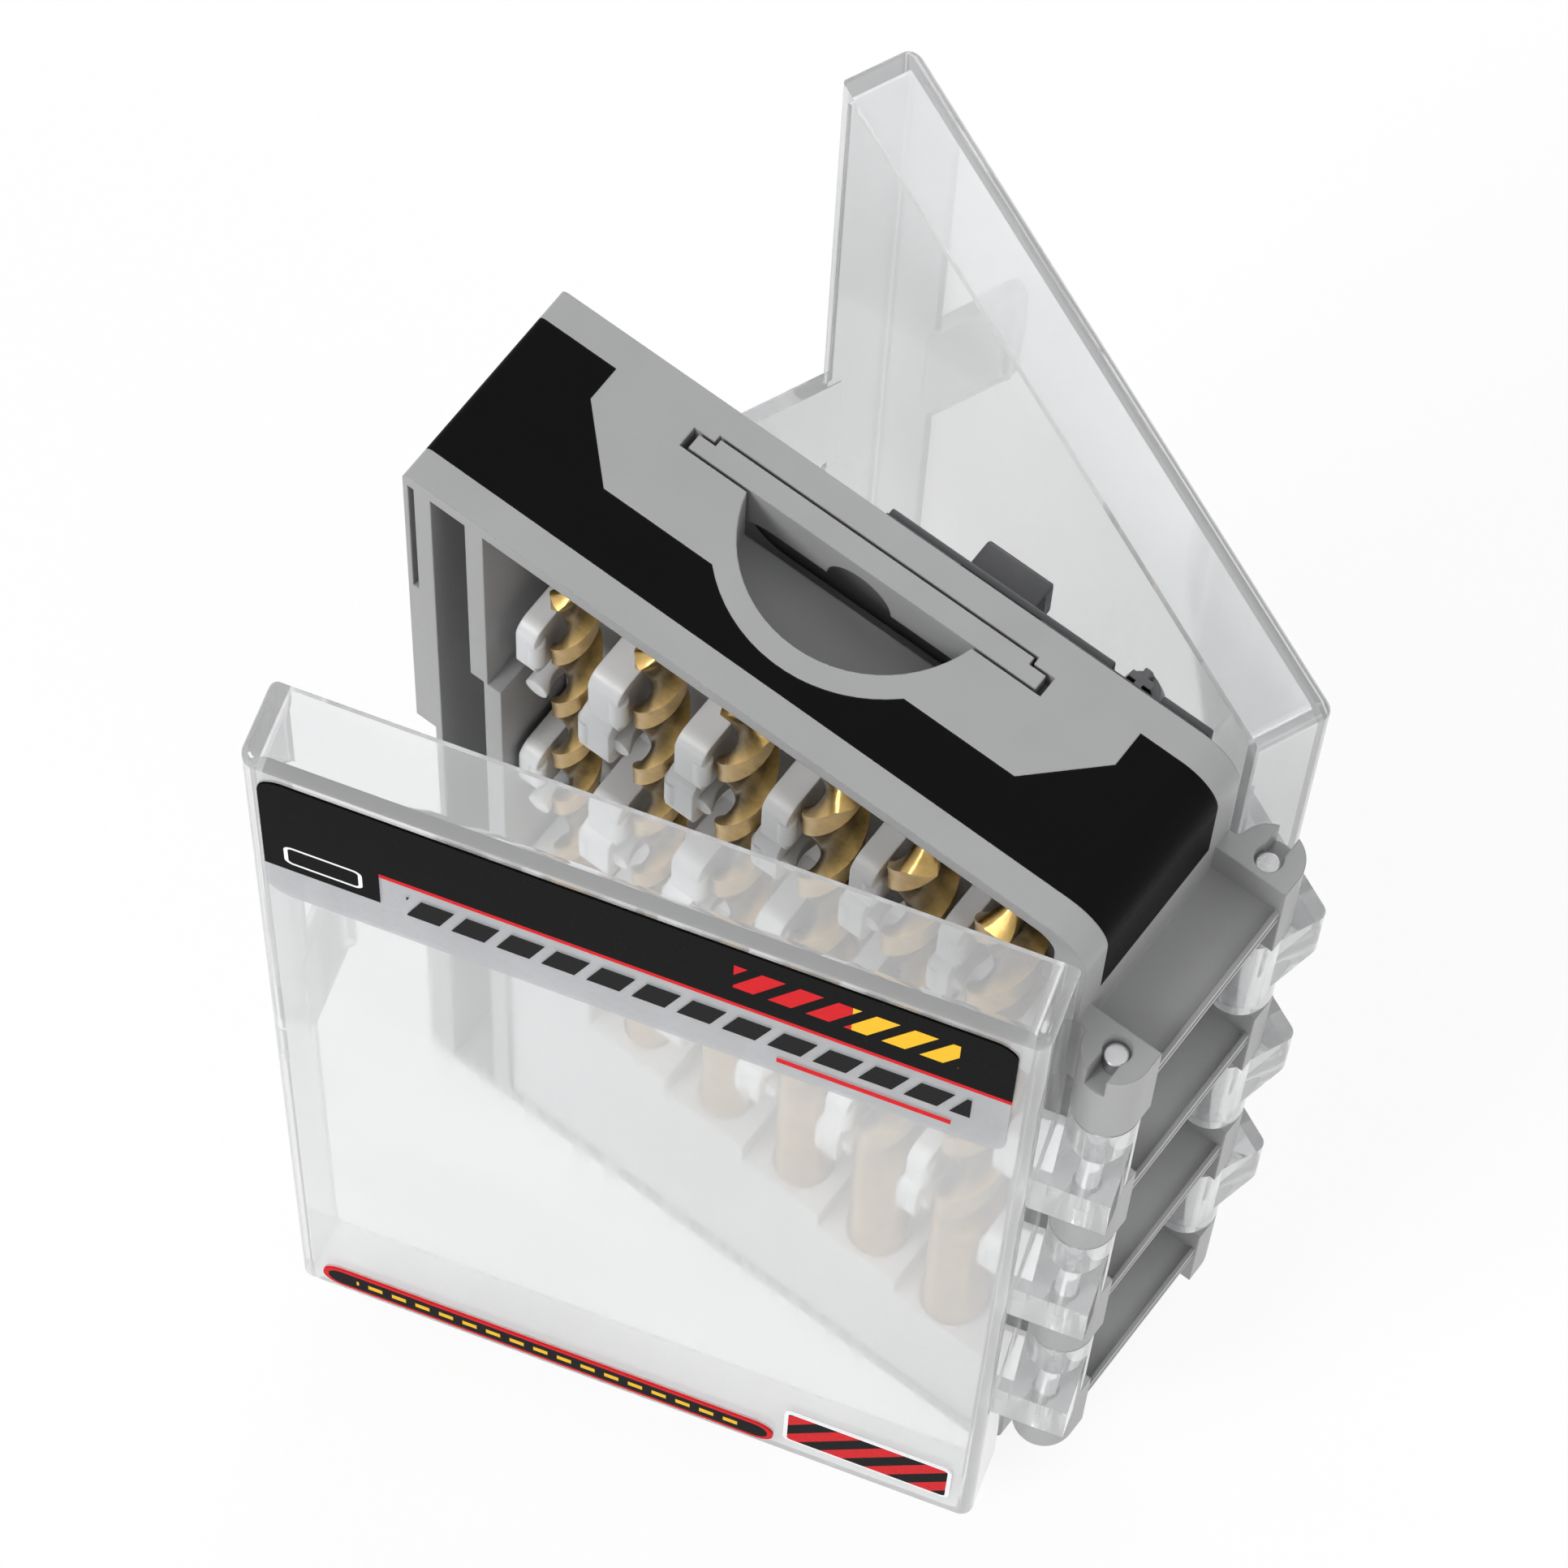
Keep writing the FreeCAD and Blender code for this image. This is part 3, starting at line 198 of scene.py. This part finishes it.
def moulded(name, colour, rough, vary, grain=FINE_GRAIN, depth=GRAIN_DEPTH, scatter=0.0,
            gloss=MOULDED_GLOSS):
    """Moulded plastic: slow colour drift, flow streaks, a fine spark-eroded grain and softened edges."""
    g = Graph(name)
    drift = g.noise(DRIFT_SCALE, detail=4.0, rough=0.6)
    streak = g.noise(FLOW_SCALE, detail=2.0, rough=0.5, vector=g.stretched(FLOW_STRETCH))
    g.drifting_colour(g.average(drift, streak), shade(colour, 1 - vary), shade(colour, 1 + vary))
    fine = g.noise(grain, detail=2.0, rough=0.6)
    g.drifting_gloss(g.average(drift, fine), rough - ROUGH_SWING, rough + ROUGH_SWING)
    g.uniform("Specular IOR Level", gloss)
    g.bump(fine, depth, strength=0.6, edge=MOULDED_EDGE)
    if scatter:
        g.uniform("Subsurface Weight", scatter)
        g.uniform("Subsurface Radius", SCATTER_REACH)
        g.uniform("Subsurface Scale", 1.0)
    return g.material


# Clear plastic. CLEAR_PASS is the share of lamp light that each surface lets through to what lies behind it.
CLEAR_PASS = 0.88
CLEAR_SHARE = 0.78
CLEAR_IOR = 1.46
CLEAR_DEEP = rgb(0.81, 0.815, 0.82)
CLEAR_PALE = rgb(0.86, 0.865, 0.87)
WAVE_SCALE = 35.0
WAVE_DEPTH = 0.00012
SCUFF_SCALE = 900.0
SCUFF_STRETCH = (1.0, 1.0, 0.08)


def clear(name):
    """Clear polystyrene: see-through with a faint milky share, hairline scuffs and slight waviness."""
    g = Graph(name)
    g.uniform("Transmission Weight", CLEAR_SHARE)
    g.uniform("IOR", CLEAR_IOR)
    wave = g.noise(WAVE_SCALE, detail=2.0, rough=0.4)
    scuff = g.noise(SCUFF_SCALE, detail=3.0, rough=0.7, vector=g.stretched(SCUFF_STRETCH))
    g.drifting_colour(wave, CLEAR_DEEP, CLEAR_PALE)
    g.link(g.spread(scuff, low=0.02, high=0.10, start=0.45, end=0.8), g.shader.inputs["Roughness"])
    shadow_ray = g.new("ShaderNodeLightPath").outputs["Is Shadow Ray"]
    g.link(g.math("SUBTRACT", 1.0, g.math("MULTIPLY", shadow_ray, CLEAR_PASS)), g.shader.inputs["Alpha"])
    g.bump(wave, WAVE_DEPTH, strength=0.35)
    return g.material


# Drawn or ground metal
PATCH_SCALE = 260.0
DRAWN_SCALE = 2600.0
DRAWN_STRETCH = (1.0, 1.0, 0.05)
DRAWN_DEPTH = 0.000012
METAL_EDGE = 0.0002
METAL_VARY = 0.12
METAL_SMOOTHER, METAL_ROUGHER = 0.08, 0.1


def metal(name, colour, rough):
    """Ground or drawn metal: fine lines along the piece, and patches of colour and gloss."""
    g = Graph(name)
    g.uniform("Metallic", 1.0)
    patch = g.noise(PATCH_SCALE, detail=3.0, rough=0.6)
    line = g.noise(DRAWN_SCALE, detail=2.0, rough=0.6, vector=g.stretched(DRAWN_STRETCH))
    g.drifting_colour(patch, shade(colour, 1 - METAL_VARY), shade(colour, 1 + METAL_VARY))
    g.drifting_gloss(g.average(patch, line), rough - METAL_SMOOTHER, rough + METAL_ROUGHER)
    g.bump(line, DRAWN_DEPTH, strength=0.5, edge=METAL_EDGE)
    return g.material


# Gold coat of the drills
LAND_DULL = rgb(0.44, 0.29, 0.095)
LAND_BRIGHT = rgb(0.67, 0.455, 0.175)
# Painted shade in the flutes: the colours of their deepest parts, between which a patch noise drifts.
FLUTE_SHADE_DARK = rgb(0.065, 0.042, 0.014)
FLUTE_SHADE_BROWN = rgb(0.21, 0.14, 0.05)
COAT_PATCH_SCALE = 420.0
GROUND_SCALE = 3000.0
GROUND_STRETCH = (1.0, 1.0, 3.0)
GROUND_DEPTH = 0.00001


def gold_coat():
    """Gold nitride on a drill: bright lands, and painted shade in the flutes, darker where they are deeper.
    """
    g = Graph("gold_coat")
    g.uniform("Metallic", 1.0)
    # The painted shade in the flutes is mixed over the land colour by each point's share, which grows with
    # the flutes' depth.
    flute_shade_share = g.new("ShaderNodeAttribute", attribute_name="flute_shade").outputs["Fac"]
    patch = g.noise(COAT_PATCH_SCALE, detail=4.0, rough=0.65)
    land = g.mix(g.spread(patch, 0.0, 1.0), LAND_DULL, LAND_BRIGHT)
    flute_shade = g.mix(g.spread(patch, 0.0, 1.0), FLUTE_SHADE_DARK, FLUTE_SHADE_BROWN)
    g.link(g.mix(flute_shade_share, land, flute_shade), g.shader.inputs["Base Color"])
    line = g.noise(GROUND_SCALE, detail=2.0, rough=0.6, vector=g.stretched(GROUND_STRETCH))
    g.drifting_gloss(g.average(patch, line), smooth=0.24, rough=0.46)
    g.bump(line, GROUND_DEPTH, strength=0.5)
    return g.material


# Printed labels. Their artwork is drawn in millimetres: across from the front lid's latch edge, and up from
# the case's foot. A box is its start and end across, then its foot and top.
MM_PER_M = 1000
LID_REACH_MM = 72.0
front_hinge = next(joint for joint in frame["joints"] if joint["name"] == "front_lid_hinge")
FRONT_PIN = Vector(front_hinge["pos_m"])
FRONT_OPEN = math.radians(-front_hinge["range_deg"][0])

BLACK = rgb(0.0022, 0.0022, 0.0025)
RED = rgb(0.62, 0.015, 0.02)
YELLOW = rgb(0.86, 0.50, 0.03)
PAPER = rgb(0.86, 0.87, 0.88)
SILVER = rgb(0.56, 0.57, 0.59)
INK = rgb(0.012, 0.012, 0.012)
MOTTLE = rgb(0.6, 0.6, 0.6)
MOTTLE_SCALE = 700.0
MOTTLE_SHARE = 0.004
FILM_GLOSS = 0.006
FILM_RELIEF = 0.00001

HEADER_BAND_FOOT = 113.4
HEADER_BLOCK_END = 11.7
HEADER_BLOCK_FOOT = 107.2
HEADER_RULE_FOOT = 112.7
HEADER_BARS = (42.0, 61.0, 116.6, 121.4)
HEADER_BARS_YELLOW_FROM = 52.0
HEADER_FRAME = (3.4, 10.2, 108.6, 112.2)
HEADER_FRAME_ROUND = 0.8
HEADER_FRAME_LINE = 0.35
HEADER_ROW = (14.0, 62.5, 106.6, 110.6)
HEADER_LINE = (46.0, 61.0, 103.6, 104.6)
HEADER_FIELD_ALPHA = 0.5

FOOTER = (2.6, 48.2, 2.4, 6.8)
FOOTER_ROUND = 2.0
FOOTER_RIM = 0.55
FOOTER_DASHES = (6.0, 44.8, 4.1, 5.1)

BADGE = (49.2, 65.8, 5.2, 13.6)
BADGE_ROUND = 0.9
BADGE_RIM = 0.4


def lid_places(g):
    """Millimetres across from the front lid's latch edge, and millimetres up, as sockets."""
    step_x, step_y = MM_PER_M * math.cos(FRONT_OPEN), MM_PER_M * math.sin(FRONT_OPEN)
    pin_across = FRONT_PIN.x * step_x + FRONT_PIN.y * step_y
    across = g.math("ADD", g.dot(g.coord, (step_x, step_y, 0)), LID_REACH_MM - pin_across)
    return across, g.dot(g.coord, (0, 0, MM_PER_M))


def inside(g, across, up, box):
    """1 inside a box of the artwork, and 0 outside it."""
    x0, x1, z0, z1 = box
    return g.both(g.between(across, x0, x1), g.between(up, z0, z1))


def rounded_edge(g, across, up, box, radius):
    """Distance in millimetres to a rounded rectangle's outline, negative inside."""
    x0, x1, z0, z1 = box
    parts = []
    for value, low, high in ((across, x0, x1), (up, z0, z1)):
        middle, half = (low + high) / 2, (high - low) / 2 - radius
        away = g.math("ABSOLUTE", g.math("SUBTRACT", value, middle))
        parts.append(g.math("MAXIMUM", g.math("SUBTRACT", away, half), 0.0))
    square = g.math("ADD", g.math("MULTIPLY", parts[0], parts[0]), g.math("MULTIPLY", parts[1], parts[1]))
    return g.math("SUBTRACT", g.math("SQRT", square), radius)


def slanted(g, across, up, period, share, lean):
    """Slanted stripes: 1 on the share of each period that is inked."""
    place = g.math("DIVIDE", g.math("SUBTRACT", across, g.math("MULTIPLY", up, lean)), period)
    return g.math("LESS_THAN", g.math("FRACT", place), share)


def film(g, colour, alpha=None):
    """Printed film over clear plastic: slight ink mottle, soft gloss and, where asked, see-through parts."""
    mottle = g.noise(MOTTLE_SCALE, detail=4.0, rough=0.7)
    g.link(g.mix(g.spread(mottle, 0.0, MOTTLE_SHARE), colour, MOTTLE), g.shader.inputs["Base Color"])
    g.drifting_gloss(mottle, smooth=0.22, rough=0.34)
    g.uniform("Specular IOR Level", FILM_GLOSS)
    if alpha is not None:
        g.link(alpha, g.shader.inputs["Alpha"])
    g.bump(mottle, FILM_RELIEF, strength=0.4)
    return g.material


def header_print():
    """The upper label: a black band with bars, a framed block and a red rule, over a see-through field."""
    g = Graph("header_print")
    across, up = lid_places(g)
    band = g.math("GREATER_THAN", up, HEADER_BAND_FOOT)
    block = g.both(g.math("LESS_THAN", across, HEADER_BLOCK_END),
                   g.math("GREATER_THAN", up, HEADER_BLOCK_FOOT))
    black = g.math("MAXIMUM", band, block)
    colour = g.mix(black, SILVER, BLACK)
    beside_block = g.math("GREATER_THAN", across, HEADER_BLOCK_END)
    rule = g.both(g.between(up, HEADER_RULE_FOOT, HEADER_BAND_FOOT), beside_block)
    colour = g.mix(rule, colour, RED)
    bars = g.both(inside(g, across, up, HEADER_BARS),
                  slanted(g, across, up, period=3.2, share=0.62, lean=0.55))
    bar_colour = g.mix(g.math("GREATER_THAN", across, HEADER_BARS_YELLOW_FROM), RED, YELLOW)
    colour = g.mix(bars, colour, bar_colour)
    frame_edge = rounded_edge(g, across, up, HEADER_FRAME, HEADER_FRAME_ROUND)
    colour = g.mix(g.between(frame_edge, -HEADER_FRAME_LINE, 0.0), colour, PAPER)
    row = g.both(inside(g, across, up, HEADER_ROW),
                 slanted(g, across, up, period=3.9, share=0.74, lean=0.35))
    colour = g.mix(row, colour, INK)
    line = inside(g, across, up, HEADER_LINE)
    colour = g.mix(line, colour, RED)
    inked = g.math("MAXIMUM", g.math("MAXIMUM", black, rule), g.math("MAXIMUM", row, line))
    return film(g, colour, g.math("MAXIMUM", inked, HEADER_FIELD_ALPHA))


def footer_print():
    """The lower strip: black with a red rim and a row of short yellow dashes."""
    g = Graph("footer_print")
    across, up = lid_places(g)
    edge = rounded_edge(g, across, up, FOOTER, FOOTER_ROUND)
    colour = g.mix(g.math("GREATER_THAN", edge, -FOOTER_RIM), BLACK, RED)
    dashes = g.both(inside(g, across, up, FOOTER_DASHES),
                    slanted(g, across, up, period=2.4, share=0.6, lean=0.0))
    return film(g, g.mix(dashes, colour, YELLOW))


def badge_print():
    """The small badge: red and black slanted bars with a pale edge."""
    g = Graph("badge_print")
    across, up = lid_places(g)
    colour = g.mix(slanted(g, across, up, period=4.4, share=0.5, lean=0.8), BLACK, RED)
    edge = rounded_edge(g, across, up, BADGE, BADGE_ROUND)
    return film(g, g.mix(g.math("GREATER_THAN", edge, -BADGE_RIM), colour, PAPER))


# The look of each CAD node
grey_plastic = moulded("grey_plastic", rgb(0.335, 0.337, 0.34), rough=0.42, vary=0.05)
black_plastic = moulded("black_plastic", rgb(0.004, 0.004, 0.0045), rough=0.46, vary=0.08,
                        grain=1500.0, depth=0.00004, gloss=0.04)
white_plastic = moulded("white_plastic", rgb(0.74, 0.75, 0.76), rough=0.38, vary=0.03, scatter=0.25)
pale_plastic = moulded("pale_plastic", rgb(0.62, 0.63, 0.64), rough=0.45, vary=0.04)
dark_plastic = moulded("dark_plastic", rgb(0.055, 0.056, 0.06), rough=0.5, vary=0.12)
clear_plastic = clear("clear_plastic")
pin_steel = metal("pin_steel", rgb(0.60, 0.60, 0.61), rough=0.28)
bit_steel = metal("bit_steel", rgb(0.12, 0.12, 0.125), rough=0.34)
black_steel = metal("black_steel", rgb(0.045, 0.045, 0.05), rough=0.36)
gold = gold_coat()

LOOKS = {
    "case_body": grey_plastic,
    "hang_tab": grey_plastic,
    "top_inlay": black_plastic,
    "front_lid": clear_plastic,
    "back_lid": clear_plastic,
    "front_hinge_pin": pin_steel,
    "back_hinge_pin": pin_steel,
    "shank_block": pale_plastic,
    "bit_rack": dark_plastic,
    "small_drill_base": dark_plastic,
    "small_drill_comb": dark_plastic,
    "bit_holder": black_steel,
    "holder_magnet": pin_steel,
    "header_label": header_print(),
    "footer_label": footer_print(),
    "badge_label": badge_print(),
}


def look_for(name):
    if name in LOOKS:
        return LOOKS[name]
    if name.endswith("clip_rail"):
        return white_plastic
    if name.startswith("driver_bit"):
        return bit_steel
    return gold


for name, obj in nodes.items():
    obj.data.materials.clear()
    obj.data.materials.append(look_for(name))


def smooth_piece(name, mesh, material, sharp):
    """An object for a new mesh in one material, shaded smooth but for edges over the sharp angle."""
    mesh.polygons.foreach_set("use_smooth", [True] * len(mesh.polygons))
    mesh.set_sharp_from_angle(angle=sharp)
    mesh.materials.append(material)
    obj = bpy.data.objects.new(name, mesh)
    bpy.context.scene.collection.objects.link(obj)
    return obj


# Twist drills. A share is of the drill's length for the flutes, of the land for the margin, and of the
# diameter elsewhere. A reach or a flute's depth is a share of the radius.
TURN_STEPS = 26
FEWEST_STEPS = 8
LAND_POINTS = 7
FLUTE_POINTS = 11
SECTION_POINTS = 2 * (LAND_POINTS + FLUTE_POINTS - 1)
POINT_RINGS = 4
LAND_SPAN = math.radians(52)
MARGIN_SHARE = 0.3
LAND_REACH = 0.965
FLUTE_DEPTH = 0.66
FLUTE_ROUNDING = 0.75
# The depth, as a share of the radius, at which the painted shade in the flutes is full.
FLUTE_SHADE_DEPTH = 0.45
LEAD_SHARE = 5.0
FLUTE_SHARE = 0.70
POINT_SHARE = 0.30
RUNOUT_SHARE = 1.1
CHAMFER_SHARE = 0.04
CHAMFER_REACH = 0.92
TIP_REACH = 0.04
TIP_FLUTE_LOSS = 0.5
DRILL_SHARP = math.radians(40)


def section(depth_share):
    """Angle, reach and share of painted shade of each point round a section with two flutes; the shade grows
    with the flutes' depth.
    """
    points = []
    for half in (0.0, math.pi):
        for index in range(LAND_POINTS):
            along = index / (LAND_POINTS - 1)
            reach = 1.0 if along < MARGIN_SHARE else LAND_REACH
            points.append((half + LAND_SPAN * along, reach, 0.0))
        for index in range(1, FLUTE_POINTS):
            along = index / FLUTE_POINTS
            dip = FLUTE_DEPTH * math.sin(math.pi * along) ** FLUTE_ROUNDING * depth_share
            angle = half + LAND_SPAN + (math.pi - LAND_SPAN) * along
            points.append((angle, 1.0 - dip, min(1.0, dip / FLUTE_SHADE_DEPTH)))
    return points


def drill_rings(foot, length, diameter):
    """Height, reach, share of the flutes' full depth and turns of each ring, from the shank to the point."""
    flutes = FLUTE_SHARE * length
    start = foot + length - flutes
    cone = POINT_SHARE * diameter
    lead = LEAD_SHARE * diameter
    rings = [(foot, CHAMFER_REACH, 0.0, 0.0), (foot + CHAMFER_SHARE * diameter, 1.0, 0.0, 0.0)]
    steps = max(FEWEST_STEPS, int(round((flutes - cone) / lead * TURN_STEPS)))
    for index in range(steps + 1):
        z = start + (flutes - cone) * index / steps
        runout = min(1.0, (z - start) / (RUNOUT_SHARE * diameter))
        rings.append((z, 1.0, runout, (z - start) / lead))
    for index in range(1, POINT_RINGS + 1):
        along = index / POINT_RINGS
        z = start + flutes - cone + cone * along
        rings.append((z, max(TIP_REACH, 1.0 - along), 1.0 - TIP_FLUTE_LOSS * along, (z - start) / lead))
    return rings


def ring_faces(ring_count):
    """Quads between neighbouring rings, with a flat face at each end."""
    faces = []
    for ring in range(ring_count - 1):
        for index in range(SECTION_POINTS):
            a = ring * SECTION_POINTS + index
            b = ring * SECTION_POINTS + (index + 1) % SECTION_POINTS
            faces.append((a, b, b + SECTION_POINTS, a + SECTION_POINTS))
    faces.append(tuple(reversed(range(SECTION_POINTS))))
    last = (ring_count - 1) * SECTION_POINTS
    faces.append(tuple(range(last, last + SECTION_POINTS)))
    return faces


def twist_drill(node):
    """A finely turned drill in place of its CAD node: plain shank, run-out, margins and a fluted point."""
    low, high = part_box(node)
    x, y = (low.x + high.x) / 2, (low.y + high.y) / 2
    radius = min(high.x - low.x, high.y - low.y) / 2
    rings = drill_rings(low.z, high.z - low.z, 2 * radius)
    vertices, flute_shades = [], []
    for z, scale, depth_share, turns in rings:
        spin = 2 * math.pi * turns
        for angle, reach, depth in section(depth_share):
            r = radius * scale * reach
            vertices.append((x + r * math.cos(angle + spin), y + r * math.sin(angle + spin), z))
            flute_shades.append(depth)
    mesh = bpy.data.meshes.new(node + "_turned")
    mesh.from_pydata(vertices, [], ring_faces(len(rings)))
    # Each point's share of painted shade in the flutes goes onto the mesh as an attribute for the gold coat.
    attribute = mesh.attributes.new("flute_shade", "FLOAT", "POINT")
    attribute.data.foreach_set("value", flute_shades)
    obj = smooth_piece(node + "_turned", mesh, gold, DRILL_SHARP)
    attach(obj, "case")
    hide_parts(node)


for name in sorted(nodes):
    if "_drill_" in name and name[-1].isdigit():
        twist_drill(name)


# Mouldings on the rack, in metres: a rim in two lengths, and the block over the bit holder's shank. Heights
# are measured down from the rack's top, and each moulding starts just inside the rack's outer face.
rack_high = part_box("bit_rack")[1]
SEATED = 0.0001
RIM_LONG_ACROSS = (-0.0050, 0.0172)
RIM_SHORT_ACROSS = (0.0219, 0.0268)
RIM_DOWN = (0.00005, 0.00254)
RIM_PROUD = 0.0007
RIM_EDGE = 0.0002
GRIP_ACROSS = (0.0022, 0.0088)
GRIP_DOWN = (0.0024, 0.0073)
GRIP_PROUD = 0.00412
GRIP_EDGE = 0.0003
GRIP_PANEL = 0.00018
PANEL_MARGINS = 3
CORNER_RADIANS = 1.2
OUTWARD = 0.9
EDGE_SEGMENTS = 3
BLOCK_SHARP = math.radians(50)


def moulded_block(name, across, down, proud, edge, panel=0.0):
    """A small dark moulding on the rack: rounded edges and, where asked, a sunk panel in its outer face."""
    low = Vector((across[0], rack_high.y - SEATED, rack_high.z - down[1]))
    high = Vector((across[1], rack_high.y + proud, rack_high.z - down[0]))
    size, middle = high - low, (low + high) / 2
    form = bmesh.new()
    bmesh.ops.create_cube(form, size=1.0)
    for vertex in form.verts:
        vertex.co = Vector([vertex.co[i] * size[i] + middle[i] for i in range(3)])
    if panel:
        outer = [face for face in form.faces if face.normal.y > OUTWARD]
        bmesh.ops.inset_region(form, faces=outer, thickness=PANEL_MARGINS * panel)
        bmesh.ops.inset_region(form, faces=outer, thickness=panel, depth=-panel)
    sharp = [line for line in form.edges
             if len(line.link_faces) == 2 and line.calc_face_angle() > CORNER_RADIANS]
    bmesh.ops.bevel(form, geom=sharp, offset=edge, segments=EDGE_SEGMENTS, profile=0.5, affect="EDGES",
                    clamp_overlap=True)
    mesh = bpy.data.meshes.new(name)
    form.to_mesh(mesh)
    form.free()
    obj = smooth_piece(name, mesh, dark_plastic, BLOCK_SHARP)
    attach(obj, "case")


moulded_block("rack_rim_long", RIM_LONG_ACROSS, RIM_DOWN, RIM_PROUD, RIM_EDGE)
moulded_block("rack_rim_short", RIM_SHORT_ACROSS, RIM_DOWN, RIM_PROUD, RIM_EDGE)
moulded_block("shank_grip", GRIP_ACROSS, GRIP_DOWN, GRIP_PROUD, GRIP_EDGE, GRIP_PANEL)

# Studio
WHITE = rgb(1.0, 1.0, 1.0)
FLOOR_TONE = rgb(0.92, 0.92, 0.92)
FLOOR_RADIUS = 6.0
FLOOR_SIDES = 96
FLOOR_DROP = 0.0002
FLOOR_WHITE_SHARE = 0.85
WORLD_LIGHT = 0.56
WORLD_SHOWN = 1.0


def backdrop_rays(tree):
    """1 on the camera, glossy and transmitted rays, which see the white backdrop, and 0 on all others."""
    path = tree.nodes.new("ShaderNodeLightPath")
    seen = path.outputs["Is Camera Ray"]
    for kind in ("Is Glossy Ray", "Is Transmission Ray"):
        larger = tree.nodes.new("ShaderNodeMath")
        larger.operation = "MAXIMUM"
        tree.links.new(seen, larger.inputs[0])
        tree.links.new(path.outputs[kind], larger.inputs[1])
        seen = larger.outputs[0]
    return seen


def floor():
    """A pale round floor that shows white to the camera and keeps a soft shadow."""
    bpy.ops.mesh.primitive_circle_add(vertices=FLOOR_SIDES, radius=FLOOR_RADIUS, fill_type="NGON",
                                      location=(0, 0, -FLOOR_DROP))
    disc = bpy.context.object
    disc.name = "studio_floor"
    g = Graph("studio_floor")
    g.tree.nodes.remove(g.shader)
    diffuse = g.new("ShaderNodeBsdfDiffuse")
    diffuse.inputs["Color"].default_value = FLOOR_TONE
    glow = g.new("ShaderNodeEmission")
    glow.inputs["Color"].default_value = WHITE
    blend = g.new("ShaderNodeMixShader")
    g.link(g.math("MULTIPLY", backdrop_rays(g.tree), FLOOR_WHITE_SHARE), blend.inputs[0])
    g.link(diffuse.outputs[0], blend.inputs[1])
    g.link(glow.outputs[0], blend.inputs[2])
    g.link(blend.outputs[0], g.out.inputs["Surface"])
    disc.data.materials.append(g.material)


def background(tree, strength):
    """A white background of the given strength."""
    made = tree.nodes.new("ShaderNodeBackground")
    made.inputs["Color"].default_value = WHITE
    made.inputs["Strength"].default_value = strength
    return made.outputs[0]


def world():
    """A world that lights the object softly and shows white behind it."""
    made = bpy.data.worlds.new("studio")
    bpy.context.scene.world = made
    made.use_nodes = True
    tree = made.node_tree
    tree.nodes.clear()
    out = tree.nodes.new("ShaderNodeOutputWorld")
    blend = tree.nodes.new("ShaderNodeMixShader")
    tree.links.new(backdrop_rays(tree), blend.inputs[0])
    tree.links.new(background(tree, WORLD_LIGHT), blend.inputs[1])
    tree.links.new(background(tree, WORLD_SHOWN), blend.inputs[2])
    tree.links.new(blend.outputs[0], out.inputs["Surface"])


def lamp(name, place, target, width, power):
    """A square area lamp that points from its place to the target."""
    data = bpy.data.lights.new(name, "AREA")
    data.shape = "SQUARE"
    data.size = width
    data.energy = power
    obj = bpy.data.objects.new(name, data)
    bpy.context.scene.collection.objects.link(obj)
    obj.location = place
    obj.rotation_mode = "QUATERNION"
    obj.rotation_quaternion = (Vector(target) - Vector(place)).to_track_quat("-Z", "Y")


floor()
world()
lamp("key", place=(-0.24, -0.75, 0.68), target=(0, 0, 0.07), width=0.35, power=5.0)
lamp("side", place=(0.75, -0.10, 0.45), target=(0, 0, 0.06), width=0.5, power=1.4)
lamp("rear", place=(-0.25, 0.78, 0.42), target=(0, 0, 0.06), width=0.5, power=3.2)

# Camera at the photograph's view. Its three directions are the picture's right, the picture's down and the
# line of sight.
SENSOR_MM = 36.0
LENS_MM = 155.8
CLIP_NEAR = 0.01
CLIP_FAR = 50.0
CAMERA_PLACE = (0.11740, -0.18525, 0.61802)
RIGHT = Vector((0.79744, 0.60286, 0.02544))
DOWN = Vector((0.56392, -0.72960, -0.38688))
FORWARD = Vector((-0.21468, 0.32286, -0.92178))


def photo_camera():
    """The photograph's camera."""
    data = bpy.data.cameras.new("camera")
    data.sensor_width = SENSOR_MM
    data.lens = LENS_MM
    data.clip_start = CLIP_NEAR
    data.clip_end = CLIP_FAR
    obj = bpy.data.objects.new("camera", data)
    bpy.context.scene.collection.objects.link(obj)
    obj.rotation_mode = "QUATERNION"
    obj.rotation_quaternion = Matrix((RIGHT, -DOWN, -FORWARD)).transposed().to_quaternion()
    obj.location = CAMERA_PLACE
    return obj


bpy.context.scene.camera = photo_camera()
bpy.context.scene.view_settings.view_transform = "Standard"
